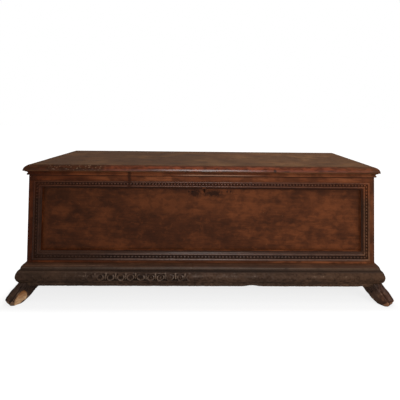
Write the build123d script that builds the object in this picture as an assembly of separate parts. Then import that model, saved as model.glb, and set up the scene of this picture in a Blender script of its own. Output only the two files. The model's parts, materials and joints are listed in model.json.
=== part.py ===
from build123d import *

import math
import os

# A walnut cassone: a long chest with a framed, recessed front, a hinged lid, a moulded plinth and paw feet.
# Lengths are in millimetres. The origin is on the floor, at the centre of the whole chest's box.
# X runs along the chest, the front looks towards -Y and Z is up.

# Case: a joined front frame, two end boards, a back of two planks and a bottom of three
case_width = 1660.0
case_depth = 512.0
case_height = 511.0
frame_thickness = 30.0
stile_width = 62.0
top_rail_width = 82.0
bottom_rail_width = 133.0
tenon_length = 45.0
tenon_thickness = 10.0
tenon_setback = 7.0
tenon_shoulder = 10.0
tenon_play = 0.2
peg_radius = 4.0
peg_sides = 8
peg_inset = 22.0
peg_edge_distance = 17.0
peg_spacing = 18.0
end_thickness = 25.0
back_thickness = 25.0
tail_count = 6
tail_tip_width = 58.0
tail_neck_width = 48.0
bottom_thickness = 20.0
bottom_plank_count = 3

# Front panel, let into a rebate at the back of the frame
panel_thickness = 12.0
panel_lap = 12.0

# Moulding round the panel, planted in a rebate at the front of the frame
moulding_width = 38.0
moulding_top_width = 35.0
moulding_bottom_width = 44.0
moulding_rebate = 6.0
moulding_rise = 5.0
moulding_fillet_width = 10.0
moulding_fillet_step = 2.0
moulding_bead_width = 14.0
moulding_roll_width = 9.0
moulding_quirk = 1.0

# Plinth moulding, from its lower hollow band up to its top roll
plinth_band_height = 26.0
plinth_torus_height = 41.0
plinth_cove_height = 13.0
plinth_roll_height = 18.0
plinth_band_projection = 22.0
plinth_torus_root = 27.0
plinth_projection = 35.0
plinth_roll_projection = 19.0
plinth_fillet = 2.0

# Paw feet, drawn with U pointing out along the foot, V across it and W up, from the corner above the foot
foot_height = 70.0
paw_half_width = 32.0
paw_heel = 60.0
paw_neck = 36.0
paw_knee = 82.0
paw_knee_height = 25.0
paw_toe_line = 61.0
paw_sole_start = 25.0
paw_lip_height = 18.0
paw_spread = 0.7
paw_shin_bulge = 5.0
paw_tip_bulge = 7.0
paw_belly = 6.0
toe_radius = 8.5
inner_toe_reach = 75.5
inner_toe_side = 7.8
outer_toe_reach = 66.0
outer_toe_side = 23.5
outer_toe_drop = 5.0
ridge_radius = 10.0
ridge_crown = 2.0
paw_play = 0.3
back_paw_inset = 12.0
back_paw_edge = 2.0
foot_tenon_radius = 12.0
foot_tenon_inset = 27.0

# Lid: one plank with an ovolo edge, a cove strip under the edge and two battens
lid_thickness = 29.0
lid_front_overhang = 20.0
lid_end_overhang = 22.0
lid_back_overhang = 30.0
lid_seat_gap = 0.3
lid_arris_setback = 22.0
lid_quirk = 1.5
lid_nose_drop = 19.0
lid_undercut = 4.0
lip_height = 20.0
lip_width = 14.0
lip_foot_width = 4.5
lip_step = 3.0
lip_fillet_width = 7.5
lip_fillet_height = 7.0
lip_play = 1.5
cleat_width = 40.0
cleat_thickness = 20.0
cleat_position = 560.0
cleat_play = 12.0
cleat_nail_count = 3

# Linked wire-loop hinges: one loop through the back, one through the lid
hinge_position = 540.0
wire_radius = 2.0
wire_sides = 6
loop_radius = 6.0
loop_shoulder_radius = 3.0
leg_spacing = 4.4
leg_play = 0.2
loop_stand_off = 1.0
loop_play = 0.5
clinch_bend_radius = 3.0
back_clinch_length = 12.0
lid_clinch_length = 6.0

# Lock, nailed behind the top of the panel
keyhole_position = 6.0
keyhole_drop = 10.0
keyhole_radius = 4.5
keyhole_slot_width = 5.0
keyhole_slot_length = 13.0
key_arch_radius = 10.5
key_arch_drop = 2.0
lock_plate_thickness = 2.5
lock_plate_half_width = 66.0
lock_plate_top = 66.0
lock_plate_bottom = 26.0
lock_case_left = 52.0
lock_case_right = 44.0
lock_case_top = 54.0
lock_case_bottom = 20.0
lock_case_depth = 22.0
lock_wall = 2.0
bolt_length = 64.0
bolt_height = 12.0
bolt_thickness = 4.0
bolt_lift = 21.0
bolt_depth = 11.5
bolt_throw = 14.0
bolt_play = 0.3
bolt_talon_width = 9.0
bolt_talon_depth = 4.0
guide_length = 6.0
guide_wall = 3.0
key_pin_radius = 2.0
staple_position = 18.0
staple_width = 12.0
staple_thickness = 6.0
staple_eye_play = 1.0
staple_end = 4.0
staple_gap = 2.0
staple_slot_front_play = 5.0
staple_slot_play = 1.5
staple_plate_length = 46.0
staple_plate_width = 24.0
staple_plate_thickness = 2.0
spring_thickness = 1.2
spring_length = 34.0
spring_rise = 8.0
spring_bow = 3.0

# Wrought nails: square shanks and low pyramid heads
nail_side = 3.0
nail_play = 0.1
nail_head_side = 9.0
nail_head_height = 2.5
bottom_nail_length = 45.0
bottom_nail_inset = 90.0
bottom_nail_count = 6
end_nail_count = 2
cleat_nail_length = 34.0
lock_nail_length = 12.0
lock_nail_edge = 6.0

# Where the main planes lie
outer_toe_span = (outer_toe_reach + outer_toe_side) / math.sqrt(2) + toe_radius
front_face = outer_toe_span - (outer_toe_span + case_depth + lid_back_overhang) / 2
back_face = front_face + case_depth
half_width = case_width / 2
half_opening = half_width - stile_width
floor_of_case = foot_height + bottom_thickness
rim = floor_of_case + case_height
opening_low = floor_of_case + bottom_rail_width
opening_high = rim - top_rail_width
frame_back = front_face + frame_thickness
panel_face = frame_back - panel_thickness
back_inside = back_face - back_thickness
end_inside = half_width - end_thickness
plinth_height = plinth_band_height + plinth_torus_height + plinth_cove_height + plinth_roll_height
lid_underside = rim + lid_seat_gap
lid_top = lid_underside + lid_thickness
lid_nose_front = front_face - lid_front_overhang
lid_nose_end = half_width + lid_end_overhang
lid_back = back_face + lid_back_overhang
far = 3000.0


def block(low, high):
    """A box between two opposite corners."""
    size = [b - a for a, b in zip(low, high)]
    centre = [(a + b) / 2 for a, b in zip(low, high)]
    return Pos(*centre) * Box(*size)


def arc(start, end, rise):
    """An arc that stands off its chord by rise, to the left of the way from start to end."""
    chord = Vector(*end) - Vector(*start)
    middle = (Vector(*start) + Vector(*end)) / 2 + Vector(-chord.Y, chord.X).normalized() * rise
    return ThreePointArc(start, middle, end)


def outline(*corners):
    """A closed straight-sided face."""
    return make_face(Polyline(*corners, close=True))


def along_x(face, start, end):
    """A face drawn in Y and Z, run from one X to another."""
    return extrude(Plane.YZ.offset(start) * face, amount=end - start)


def along_y(face, start, end):
    """A face drawn in X and Z, run from one Y to another."""
    return extrude(Plane.XZ.offset(-start) * face, amount=start - end)


def along_z(face, start, end):
    """A face drawn in X and Y, run from one Z to another."""
    return extrude(Plane.XY.offset(start) * face, amount=end - start)


def frame_on(point, forward, normal):
    """A plane at a point, its X along forward and its Z along normal."""
    return Plane(origin=point, x_dir=forward, z_dir=normal)


def nail(length):
    """A wrought nail that points along +Z, with its head below the origin."""
    shank = Pos(0, 0, length / 2) * Box(nail_side, nail_side, length)
    base = Rectangle(nail_head_side, nail_head_side)
    crown = Pos(0, 0, -nail_head_height) * Rectangle(nail_side, nail_side)
    return shank + loft([base, crown], ruled=True)


def nail_hole(length):
    """The hole that a nail leaves, a little wider than its shank."""
    side = nail_side + 2 * nail_play
    return Pos(0, 0, (length + nail_play) / 2) * Box(side, side, length + nail_play)


# ---- Front frame


def peg_places():
    """X and Z of the pegs, two at each joint of the front frame."""
    places = []
    upper = rim - peg_edge_distance
    lower = opening_low - moulding_bottom_width - peg_edge_distance
    for side in (-1, 1):
        for level in (upper, lower):
            for step in (0, 1):
                places.append((side * (half_opening + peg_inset), level - step * peg_spacing))
    return places


def frame_pegs():
    """Riven pegs with eight flats, driven through the frame until they fill their holes."""
    peg = along_y(RegularPolygon(peg_radius, peg_sides), front_face, frame_back)
    return [Pos(x, 0, z) * peg for x, z in peg_places()]


def tenon(rail_low, rail_high, play):
    """Both tenons of a rail, as one bar through the rail's length, grown by play to make the mortises."""
    reach = half_opening + tenon_length + play
    near = front_face + tenon_setback - play
    return block(
        (-reach, near, rail_low + tenon_shoulder - play),
        (reach, near + tenon_thickness + 2 * play, rail_high - tenon_shoulder + play),
    )


def moulding_seat():
    """The shallow rebate round the opening in which the moulding is planted."""
    return block(
        (-half_opening - moulding_width, front_face - moulding_rise, opening_low - moulding_bottom_width),
        (half_opening + moulding_width, front_face + moulding_rebate, opening_high + moulding_top_width),
    )


def panel_seat():
    """The rebate at the back of the frame that takes the panel's edges."""
    return block(
        (-half_opening - panel_lap, panel_face, opening_low - panel_lap),
        (half_opening + panel_lap, frame_back, opening_high + panel_lap),
    )


def rail(low, high):
    board = block((-half_opening, front_face, low), (half_opening, frame_back, high))
    piece = board - moulding_seat() - panel_seat() + tenon(low, high, 0.0)
    return piece - frame_pegs()


def stile(side):
    board = block(
        (half_opening, front_face, floor_of_case),
        (half_width, frame_back, rim),
    )
    if side < 0:
        board = mirror(board, about=Plane.YZ)
    piece = board - moulding_seat() - panel_seat()
    piece -= tenon(floor_of_case, opening_low, tenon_play)
    piece -= tenon(opening_high, rim, tenon_play)
    return piece - frame_pegs()


def moulding_face(width):
    """Section of a panel moulding: Y is minus the height above the frame, Z is minus the way inwards."""
    share = width / moulding_width
    fillet_end = share * moulding_fillet_width
    bead_start = fillet_end + share * moulding_quirk
    bead_end = bead_start + share * moulding_bead_width
    roll_start = bead_end + share * moulding_quirk
    roll_end = roll_start + share * moulding_roll_width
    fillet_rise = moulding_rise - moulding_fillet_step
    edges = [
        Line((moulding_rebate, 0), (-moulding_fillet_step, 0)),
        arc((-moulding_fillet_step, 0), (-moulding_fillet_step, -fillet_end), -fillet_rise),
        Line((-moulding_fillet_step, -fillet_end), (0, -fillet_end)),
        Line((0, -fillet_end), (0, -bead_start)),
        arc((0, -bead_start), (0, -bead_end), -moulding_rise),
        Line((0, -bead_end), (0, -roll_start)),
        arc((0, -roll_start), (0, -roll_end), 1 - moulding_roll_width / 2),
        Line((0, -roll_end), (moulding_quirk, -roll_end)),
        Line((moulding_quirk, -roll_end), (moulding_quirk, -width)),
        Line((moulding_quirk, -width), (moulding_rebate, -width)),
        Line((moulding_rebate, -width), (moulding_rebate, 0)),
    ]
    return make_face(edges)


def moulding_run(outer_length, width, cut_back, cut_ahead):
    """A length of moulding along X, mitred to the widths of the pieces that it meets.

    Its outer edge is at Z = 0 and its width hangs below.
    """
    outer = outer_length / 2
    run = along_x(moulding_face(width), -outer, outer)
    mitre = outline((-outer, 0), (outer, 0), (outer - cut_ahead, -width), (cut_back - outer, -width))
    return run & along_y(mitre, -far, far)


def panel_mouldings():
    """The four mitred mouldings round the panel, by name."""
    outer_high = opening_high + moulding_top_width
    outer_low = opening_low - moulding_bottom_width
    outer_side = half_opening + moulding_width
    middle = (outer_high + outer_low) / 2
    height = outer_high - outer_low
    top = moulding_run(2 * outer_side, moulding_top_width, moulding_width, moulding_width)
    bottom = moulding_run(2 * outer_side, moulding_bottom_width, moulding_width, moulding_width)
    left = moulding_run(height, moulding_width, moulding_bottom_width, moulding_top_width)
    right = moulding_run(height, moulding_width, moulding_top_width, moulding_bottom_width)
    arch = Pos(keyhole_position, front_face, opening_high - key_arch_drop) * Rot(90, 0, 0)
    top = Pos(0, front_face, outer_high) * top - arch * Cylinder(key_arch_radius, 4 * moulding_width)
    return {
        "panel_moulding_top": top,
        "panel_moulding_bottom": Pos(0, front_face, outer_low) * Rot(0, 180, 0) * bottom,
        "panel_moulding_left": Pos(-outer_side, front_face, middle) * Rot(0, -90, 0) * left,
        "panel_moulding_right": Pos(outer_side, front_face, middle) * Rot(0, 90, 0) * right,
    }


# ---- Lock places, shared by the panel, the lock and the staple

keyhole_height = opening_high - keyhole_drop
plate_back = frame_back + lock_plate_thickness
bolt_low = keyhole_height + bolt_lift
bolt_high = bolt_low + bolt_height
bolt_middle_y = plate_back + bolt_depth
staple_x = keyhole_position + staple_position
staple_left = staple_x - staple_thickness / 2
case_low = keyhole_height - lock_case_bottom
case_high = keyhole_height + lock_case_top
case_back = plate_back + lock_case_depth


def keyhole(start, end):
    """The keyhole, a round with a slot under it, cut from one Y to another."""
    shape = Circle(keyhole_radius) + Pos(0, -keyhole_slot_length / 2) * Rectangle(
        keyhole_slot_width, keyhole_slot_length
    )
    return along_y(Pos(keyhole_position, keyhole_height) * shape, start, end)


def lock_nails(piece):
    """Copies of a nail shape at the four corners of the lock plate, pointing forward into the wood."""
    copies = []
    for side in (-1, 1):
        for height in (lock_plate_top - lock_nail_edge, lock_nail_edge - lock_plate_bottom):
            x = keyhole_position + side * (lock_plate_half_width - lock_nail_edge)
            place = frame_on((x, plate_back, keyhole_height + height), (1, 0, 0), (0, -1, 0))
            copies.append(place * piece)
    return copies


def front_panel():
    board = block(
        (-half_opening - panel_lap, panel_face, opening_low - panel_lap),
        (half_opening + panel_lap, frame_back, opening_high + panel_lap),
    )
    return board - keyhole(panel_face, frame_back) - lock_nails(nail_hole(lock_nail_length))


def bolt_bar(start, end, play):
    """A length of the bolt's section, grown by play."""
    near = bolt_middle_y - bolt_thickness / 2 - play
    far_side = bolt_middle_y + bolt_thickness / 2 + play
    return block((start, near, bolt_low - play), (end, far_side, bolt_high + play))


def lock_plate():
    plate = block(
        (keyhole_position - lock_plate_half_width, frame_back, keyhole_height - lock_plate_bottom),
        (keyhole_position + lock_plate_half_width, plate_back, keyhole_height + lock_plate_top),
    )
    guide_end = staple_left - staple_gap - bolt_play
    guide = block(
        (guide_end - guide_length, plate_back, bolt_low - guide_wall),
        (guide_end, bolt_middle_y + bolt_thickness / 2 + guide_wall, bolt_high + guide_wall),
    )
    piece = plate + guide - bolt_bar(-far, far, bolt_play)
    return piece - keyhole(frame_back, plate_back) - lock_nails(nail_hole(lock_nail_length))


def lock_case():
    left = keyhole_position - lock_case_left
    right = keyhole_position + lock_case_right
    shell = block((left, plate_back, case_low), (right, case_back, case_high))
    shell -= block(
        (left + lock_wall, plate_back, case_low + lock_wall),
        (right - lock_wall, case_back - lock_wall, case_high - lock_wall),
    )
    slot_front = bolt_middle_y - staple_width / 2 - staple_slot_front_play
    slot_back = bolt_middle_y + staple_width / 2 + staple_slot_play
    slot_right = staple_left + staple_thickness + staple_slot_play
    shell -= block(
        (staple_left - staple_slot_play, slot_front, case_high - lock_wall),
        (slot_right, slot_back, case_high),
    )
    return shell - bolt_bar(-far, keyhole_position, bolt_play)


def lock_bolt():
    tip = staple_left - staple_gap
    half = bolt_talon_width / 2
    talon = block(
        (keyhole_position - half, bolt_middle_y - bolt_thickness, bolt_low),
        (keyhole_position + half, bolt_middle_y + bolt_thickness, bolt_low + bolt_talon_depth),
    )
    return bolt_bar(tip - bolt_length, tip, 0.0) - talon


def lock_spring():
    """A bowed leaf that rests on the plate along its edge and bears down on the bolt."""
    left = keyhole_position - lock_case_left + 2 * lock_wall
    start = (left, bolt_high + spring_rise)
    end = (left + spring_length, bolt_high + bolt_play)
    upper_start = (left, start[1] + spring_thickness)
    upper_end = (end[0], end[1] + spring_thickness)
    leaf = make_face(
        [
            arc(start, end, spring_bow),
            Line(end, upper_end),
            arc(upper_end, upper_start, -spring_bow),
            Line(upper_start, start),
        ]
    )
    return along_y(leaf, plate_back, bolt_middle_y + bolt_thickness / 2)


def lock_key_pin():
    length = case_back - lock_wall - plate_back
    return Pos(keyhole_position, plate_back + length / 2, keyhole_height) * Rot(90, 0, 0) * Cylinder(
        key_pin_radius, length
    )


def lid_staple():
    """A bar with an eye, hanging from a small plate under the lid."""
    plate_underside = lid_underside - staple_plate_thickness
    plate = block(
        (staple_x - staple_plate_length / 2, bolt_middle_y - staple_plate_width / 2, plate_underside),
        (staple_x + staple_plate_length / 2, bolt_middle_y + staple_plate_width / 2, lid_underside),
    )
    eye_low = bolt_low - staple_eye_play
    bar = block(
        (staple_left, bolt_middle_y - staple_width / 2, eye_low - staple_end),
        (staple_left + staple_thickness, bolt_middle_y + staple_width / 2, plate_underside),
    )
    eye = bolt_bar(-far, far, staple_eye_play)
    return plate + (bar - eye)


# ---- Ends, back and bottom


def tails(side):
    """The dovetails of one end board, run through its thickness."""
    pitch = case_height / tail_count
    pieces = []
    for index in range(tail_count):
        middle = floor_of_case + pitch * (index + 0.5)
        shape = outline(
            (back_inside, middle - tail_neck_width / 2),
            (back_face, middle - tail_tip_width / 2),
            (back_face, middle + tail_tip_width / 2),
            (back_inside, middle + tail_neck_width / 2),
        )
        low, high = sorted((side * end_inside, side * half_width))
        pieces.append(along_x(shape, low, high))
    return pieces


def end_board(side):
    low, high = sorted((side * end_inside, side * half_width))
    board = block((low, frame_back, floor_of_case), (high, back_inside, rim))
    return board + tails(side)


def back_board(low, high):
    board = block((-half_width, back_inside, low), (half_width, back_face, high))
    return board - tails(-1) - tails(1)


def bottom_nail_places():
    """X and Y of the nails: a row under the front frame, a row under the back and some under each end."""
    places = []
    pitch = (case_width - 2 * bottom_nail_inset) / (bottom_nail_count - 1)
    for index in range(bottom_nail_count):
        x = bottom_nail_inset - half_width + index * pitch
        places.append((x, front_face + frame_thickness / 2))
        places.append((x, back_face - back_thickness / 2))
    middle = (frame_back + back_inside) / 2
    for side in (-1, 1):
        for index in range(end_nail_count):
            y = middle + (index - (end_nail_count - 1) / 2) * case_depth / (2 * end_nail_count)
            places.append((side * (half_width - end_thickness / 2), y))
    return places


def bottom_nails(piece):
    return [Pos(x, y, foot_height) * piece for x, y in bottom_nail_places()]


def bottom_plank(index):
    width = case_depth / bottom_plank_count
    low = front_face + index * width
    plank = block((-half_width, low, foot_height), (half_width, low + width, floor_of_case))
    plank -= [place * foot_tenon("front" in name) for name, place in foot_places().items()]
    return plank - bottom_nails(nail_hole(bottom_nail_length))


# ---- Plinth


def plinth_face():
    """Section of the plinth: X is the way out from the case and Y is up from the plinth's lower edge."""
    torus_low = plinth_band_height
    torus_high = torus_low + plinth_torus_height
    cove_high = torus_high + plinth_cove_height
    top = cove_high + plinth_roll_height
    band_top = plinth_band_height - 2 * plinth_fillet - plinth_fillet
    swell = plinth_projection - plinth_torus_root
    edges = [
        Line((0, 0), (plinth_band_projection, 0)),
        Line((plinth_band_projection, 0), (plinth_band_projection, band_top)),
        arc((plinth_band_projection, band_top), (plinth_torus_root, torus_low), plinth_fillet / 2),
        arc((plinth_torus_root, torus_low), (plinth_torus_root, torus_high), -swell),
        Line((plinth_torus_root, torus_high), (plinth_torus_root - plinth_fillet, torus_high)),
        arc(
            (plinth_torus_root - plinth_fillet, torus_high),
            (plinth_roll_projection, cove_high - plinth_fillet),
            plinth_fillet,
        ),
        Line((plinth_roll_projection, cove_high - plinth_fillet), (plinth_roll_projection, cove_high)),
        arc((plinth_roll_projection, cove_high), (plinth_fillet, top), -2 * plinth_fillet),
        Line((plinth_fillet, top), (0, top)),
        Line((0, top), (0, 0)),
    ]
    return make_face(edges)


def plinth_front():
    """The front length, mitred at both ends."""
    reach = half_width + plinth_projection
    placed = frame_on((-reach, front_face, foot_height), (0, -1, 0), (1, 0, 0))
    run = extrude(placed * mirror(plinth_face(), about=Plane.XZ), amount=2 * reach)
    plan = outline(
        (-half_width, front_face),
        (half_width, front_face),
        (reach, front_face - plinth_projection),
        (-reach, front_face - plinth_projection),
    )
    return run & along_z(plan, 0, far)


def plinth_right():
    """The right-hand length, mitred in front and cut square at the back."""
    reach = half_width + plinth_projection
    nose = front_face - plinth_projection
    run = along_y(Pos(half_width, foot_height) * plinth_face(), nose, back_face)
    plan = outline((half_width, front_face), (reach, nose), (reach, back_face), (half_width, back_face))
    return run & along_z(plan, 0, far)


# ---- Paw feet


def paw_side():
    """The foot seen from the side, in U and W."""
    top = foot_height + paw_lip_height
    edges = [
        Line((-paw_heel, foot_height), (-paw_heel, top)),
        Line((-paw_heel, top), (paw_neck, top)),
        arc((paw_neck, top), (paw_knee, paw_knee_height), paw_shin_bulge),
        arc((paw_knee, paw_knee_height), (paw_toe_line, 0), paw_tip_bulge),
        Line((paw_toe_line, 0), (paw_sole_start, 0)),
        arc((paw_sole_start, 0), (-paw_heel, foot_height), paw_belly),
    ]
    return along_y(make_face(edges), -far, far)


def paw_plan():
    """The foot seen from above: a straight heel and four rounded toes."""
    shape = outline(
        (-paw_heel, -paw_half_width),
        (outer_toe_reach, -paw_half_width),
        (outer_toe_reach, paw_half_width),
        (-paw_heel, paw_half_width),
    )
    instep = inner_toe_side + toe_radius
    shape += outline((0, -instep), (inner_toe_reach, -instep), (inner_toe_reach, instep), (0, instep))
    for side in (-1, 1):
        shape += Pos(inner_toe_reach, side * inner_toe_side) * Circle(toe_radius)
        shape += Pos(outer_toe_reach, side * outer_toe_side) * Circle(toe_radius)
    return along_z(shape, 0, far)


def paw_ridges():
    """The four toes as ridges that run down the shin, drawn square to it."""
    top = foot_height + paw_lip_height
    slope = (paw_knee - paw_neck, 0, paw_knee_height - top)
    crown = ridge_crown - ridge_radius
    section = Pos(0, crown - far / 2) * Rectangle(2 * (outer_toe_side + ridge_radius), far)
    for side in (-1, 1):
        section += Pos(side * inner_toe_side, crown) * Circle(ridge_radius)
        section += Pos(side * outer_toe_side, crown - outer_toe_drop) * Circle(ridge_radius)
    across = frame_on((paw_neck, 0, top), (0, 1, 0), slope)
    return extrude(across * section, amount=far / 10, both=True)


def paw_cheek(turn):
    """One of the two slanting sides by which a corner foot spreads from under the plinth's corner."""
    top = foot_height + paw_lip_height
    neck = plinth_band_projection + paw_play
    face = outline((-far, 0), (neck + paw_spread * top, 0), (neck, top), (-far, top))
    return Rot(0, 0, turn) * along_y(face, -far, far)


def paw(on_corner):
    """A paw foot. A corner foot laps the plinth's corner, and a back foot laps its straight end."""
    top = foot_height + paw_lip_height
    body = paw_side() & paw_plan() & paw_ridges()
    if on_corner:
        body = body & paw_cheek(45) & paw_cheek(-45)
    reach = plinth_band_projection + paw_play + (0 if on_corner else back_paw_inset)
    hollow = block((-far, -far, foot_height), (reach, far, top))
    if on_corner:
        hollow = Rot(0, 0, -45) * block((-far, -far, foot_height), (reach, reach, top))
    return body - hollow + foot_tenon(on_corner)


def foot_tenon(on_corner):
    """The round tenon that stands up from a foot into the bottom."""
    place = -foot_tenon_inset * math.sqrt(2) if on_corner else back_paw_inset - foot_tenon_inset
    return Pos(place, 0, foot_height + bottom_thickness / 2) * Cylinder(foot_tenon_radius, bottom_thickness)


def foot_places():
    """Where each foot's corner is and how it is turned."""
    back_row = back_face - paw_half_width - back_paw_edge
    inset = half_width - back_paw_inset
    return {
        "foot_front_left": Pos(-half_width, front_face, 0) * Rot(0, 0, -135),
        "foot_front_right": Pos(half_width, front_face, 0) * Rot(0, 0, -45),
        "foot_back_left": Pos(-inset, back_row, 0) * Rot(0, 0, 180),
        "foot_back_right": Pos(inset, back_row, 0),
    }


# ---- Lid


def lid_edge(nose, outward):
    """The moulded edge of the lid's plank, from its top arris to its underside."""
    arris = nose - outward * lid_arris_setback
    quirk = (arris, lid_top - lid_quirk)
    tip = (nose, lid_top - lid_nose_drop)
    foot = (nose - outward * lid_undercut, lid_underside)
    return [
        Line((arris, lid_top), quirk),
        arc(quirk, tip, outward * lid_undercut),
        arc(tip, foot, outward * lid_quirk / 2),
    ]


def lid_board():
    front = lid_edge(lid_nose_front, -1)
    foot_front = front[-1] @ 1
    arris_front = front[0] @ 0
    section = make_face(
        front
        + [
            Line(foot_front, (lid_back, lid_underside)),
            Line((lid_back, lid_underside), (lid_back, lid_top)),
            Line((lid_back, lid_top), arris_front),
        ]
    )
    left = lid_edge(-lid_nose_end, -1)
    right = lid_edge(lid_nose_end, 1)
    ends = make_face(left + right + [Line(left[-1] @ 1, right[-1] @ 1), Line(right[0] @ 0, left[0] @ 0)])
    plank = along_x(section, -lid_nose_end, lid_nose_end) & along_y(ends, lid_nose_front, lid_back)
    return plank - cleat_nails(nail_hole(cleat_nail_length)) - lid_loop_holes()


def lip_face():
    """Section of the cove strip: X is the way out from the case and Y is down from the lid's underside."""
    cove_start = (lip_width, -lip_step)
    cove_end = (lip_foot_width, lip_fillet_height - lip_height)
    fillet_top = (lip_fillet_width, lip_fillet_height - lip_height)
    fillet_foot = (lip_fillet_width, -lip_height)
    edges = [
        Line((lip_play, 0), (lip_width, 0)),
        Line((lip_width, 0), cove_start),
        arc(cove_start, cove_end, -lip_step),
        Line(cove_end, fillet_top),
        Line(fillet_top, fillet_foot),
        Line(fillet_foot, (lip_play, -lip_height)),
        Line((lip_play, -lip_height), (lip_play, 0)),
    ]
    return make_face(edges)


def lip_front():
    inner = half_width + lip_play
    outer = half_width + lip_width
    placed = frame_on((-outer, front_face, lid_underside), (0, -1, 0), (1, 0, 0))
    run = extrude(placed * mirror(lip_face(), about=Plane.XZ), amount=2 * outer)
    plan = outline(
        (-inner, front_face - lip_play),
        (inner, front_face - lip_play),
        (outer, front_face - lip_width),
        (-outer, front_face - lip_width),
    )
    return run & along_z(plan, 0, far)


def lip_right():
    inner = half_width + lip_play
    outer = half_width + lip_width
    nose = front_face - lip_width
    run = along_y(Pos(half_width, lid_underside) * lip_face(), nose, lid_back)
    plan = outline((inner, front_face - lip_play), (outer, nose), (outer, lid_back), (inner, lid_back))
    return run & along_z(plan, 0, far)


def cleat_nails(piece):
    """Copies of a nail shape along both battens, driven up into the lid."""
    start = frame_back + cleat_play
    pitch = (back_inside - cleat_play - start) / cleat_nail_count
    copies = []
    for side in (-1, 1):
        for index in range(cleat_nail_count):
            y = start + pitch * (index + 0.5)
            copies.append(Pos(side * cleat_position, y, lid_underside - cleat_thickness) * piece)
    return copies


def lid_cleat(side):
    middle = side * cleat_position
    batten = block(
        (middle - cleat_width / 2, frame_back + cleat_play, lid_underside - cleat_thickness),
        (middle + cleat_width / 2, back_inside - cleat_play, lid_underside),
    )
    return batten - cleat_nails(nail_hole(cleat_nail_length))


# ---- Hinges

# Distance from a loop's centre to where its legs come together
shoulder_reach = math.sqrt(
    (loop_radius + loop_shoulder_radius) ** 2 - (leg_spacing / 2 + loop_shoulder_radius) ** 2
)
loop_centre_y = back_face + loop_stand_off + shoulder_reach
pivot_y = loop_centre_y + loop_radius
lid_loop_z = lid_underside - loop_stand_off - shoulder_reach
pivot_z = lid_loop_z - (loop_radius - 2 * wire_radius - loop_play)


def wire_loop(board_face, board_back, clinch_length):
    """A forged six-sided wire with its eye at the origin.

    Its legs run along X, through a board, and turn out over its far side.
    """
    half = leg_spacing / 2
    touch = loop_radius / (loop_radius + loop_shoulder_radius)
    shoulder = Vector(shoulder_reach, half + loop_shoulder_radius)
    on_eye = shoulder * touch
    inwards = (Vector(shoulder_reach, half) + on_eye - shoulder * 2).normalized()
    bend_end = Vector(board_back + clinch_bend_radius, half + clinch_bend_radius)
    turn = math.sqrt(0.5)
    upper = [
        ThreePointArc(
            on_eye,
            shoulder + inwards * loop_shoulder_radius,
            (shoulder_reach, half),
        ),
        Line((shoulder_reach, half), (board_back, half)),
        ThreePointArc(
            (board_back, half),
            (board_back + clinch_bend_radius * turn, half + clinch_bend_radius * (1 - turn)),
            bend_end,
        ),
        Line(bend_end, bend_end + Vector(0, clinch_length)),
    ]
    lower = [edge.mirror(Plane.XZ) for edge in upper]
    eye = ThreePointArc(on_eye, (-loop_radius, 0), Vector(on_eye.X, -on_eye.Y))
    path = Wire(upper + lower + [eye])
    start = bend_end + Vector(0, clinch_length)
    section = Plane(origin=start, z_dir=(0, -1, 0)) * RegularPolygon(wire_radius, wire_sides)
    return sweep(section, path=path)


def leg_hole(start, end):
    """The slot that a loop's two legs pass through, in the loop's own frame."""
    width = leg_spacing + 2 * wire_radius + 2 * leg_play
    slot = SlotOverall(width, 2 * wire_radius + 2 * leg_play)
    return extrude(Plane(origin=(start, 0, 0), x_dir=(0, 1, 0), z_dir=(1, 0, 0)) * slot, amount=end - start)


def back_loop_frame(side):
    return frame_on((side * hinge_position, loop_centre_y, pivot_z), (0, -1, 0), (0, 0, 1))


def lid_loop_frame(side):
    return frame_on((side * hinge_position, pivot_y, lid_loop_z), (0, 0, 1), (1, 0, 0))


def hinge_loops_back():
    face = loop_stand_off + shoulder_reach
    loop = wire_loop(face, face + back_thickness, back_clinch_length)
    return [back_loop_frame(side) * loop for side in (-1, 1)]


def hinge_loops_lid():
    """The lid's loops. Their clinched ends are sunk level with the lid's top."""
    sunk = face_to_sunk_clinch()
    loop = wire_loop(loop_stand_off + shoulder_reach, sunk, lid_clinch_length)
    return [lid_loop_frame(side) * loop for side in (-1, 1)]


def face_to_sunk_clinch():
    """How far from the eye the lid loop's legs start to turn over."""
    return loop_stand_off + shoulder_reach + lid_thickness - wire_radius - clinch_bend_radius


def back_loop_holes():
    face = loop_stand_off + shoulder_reach
    return [back_loop_frame(side) * leg_hole(face, face + back_thickness) for side in (-1, 1)]


def lid_loop_holes():
    """The legs' slots through the lid and the grooves that take the turned ends."""
    face = loop_stand_off + shoulder_reach
    sunk = face_to_sunk_clinch()
    reach = leg_spacing / 2 + clinch_bend_radius + lid_clinch_length + leg_play
    half = wire_radius + leg_play
    groove = block((sunk - leg_play, -reach, -half), (face + lid_thickness, reach, half))
    return [lid_loop_frame(side) * (leg_hole(face, face + lid_thickness) + groove) for side in (-1, 1)]


# ---- The whole chest


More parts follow.
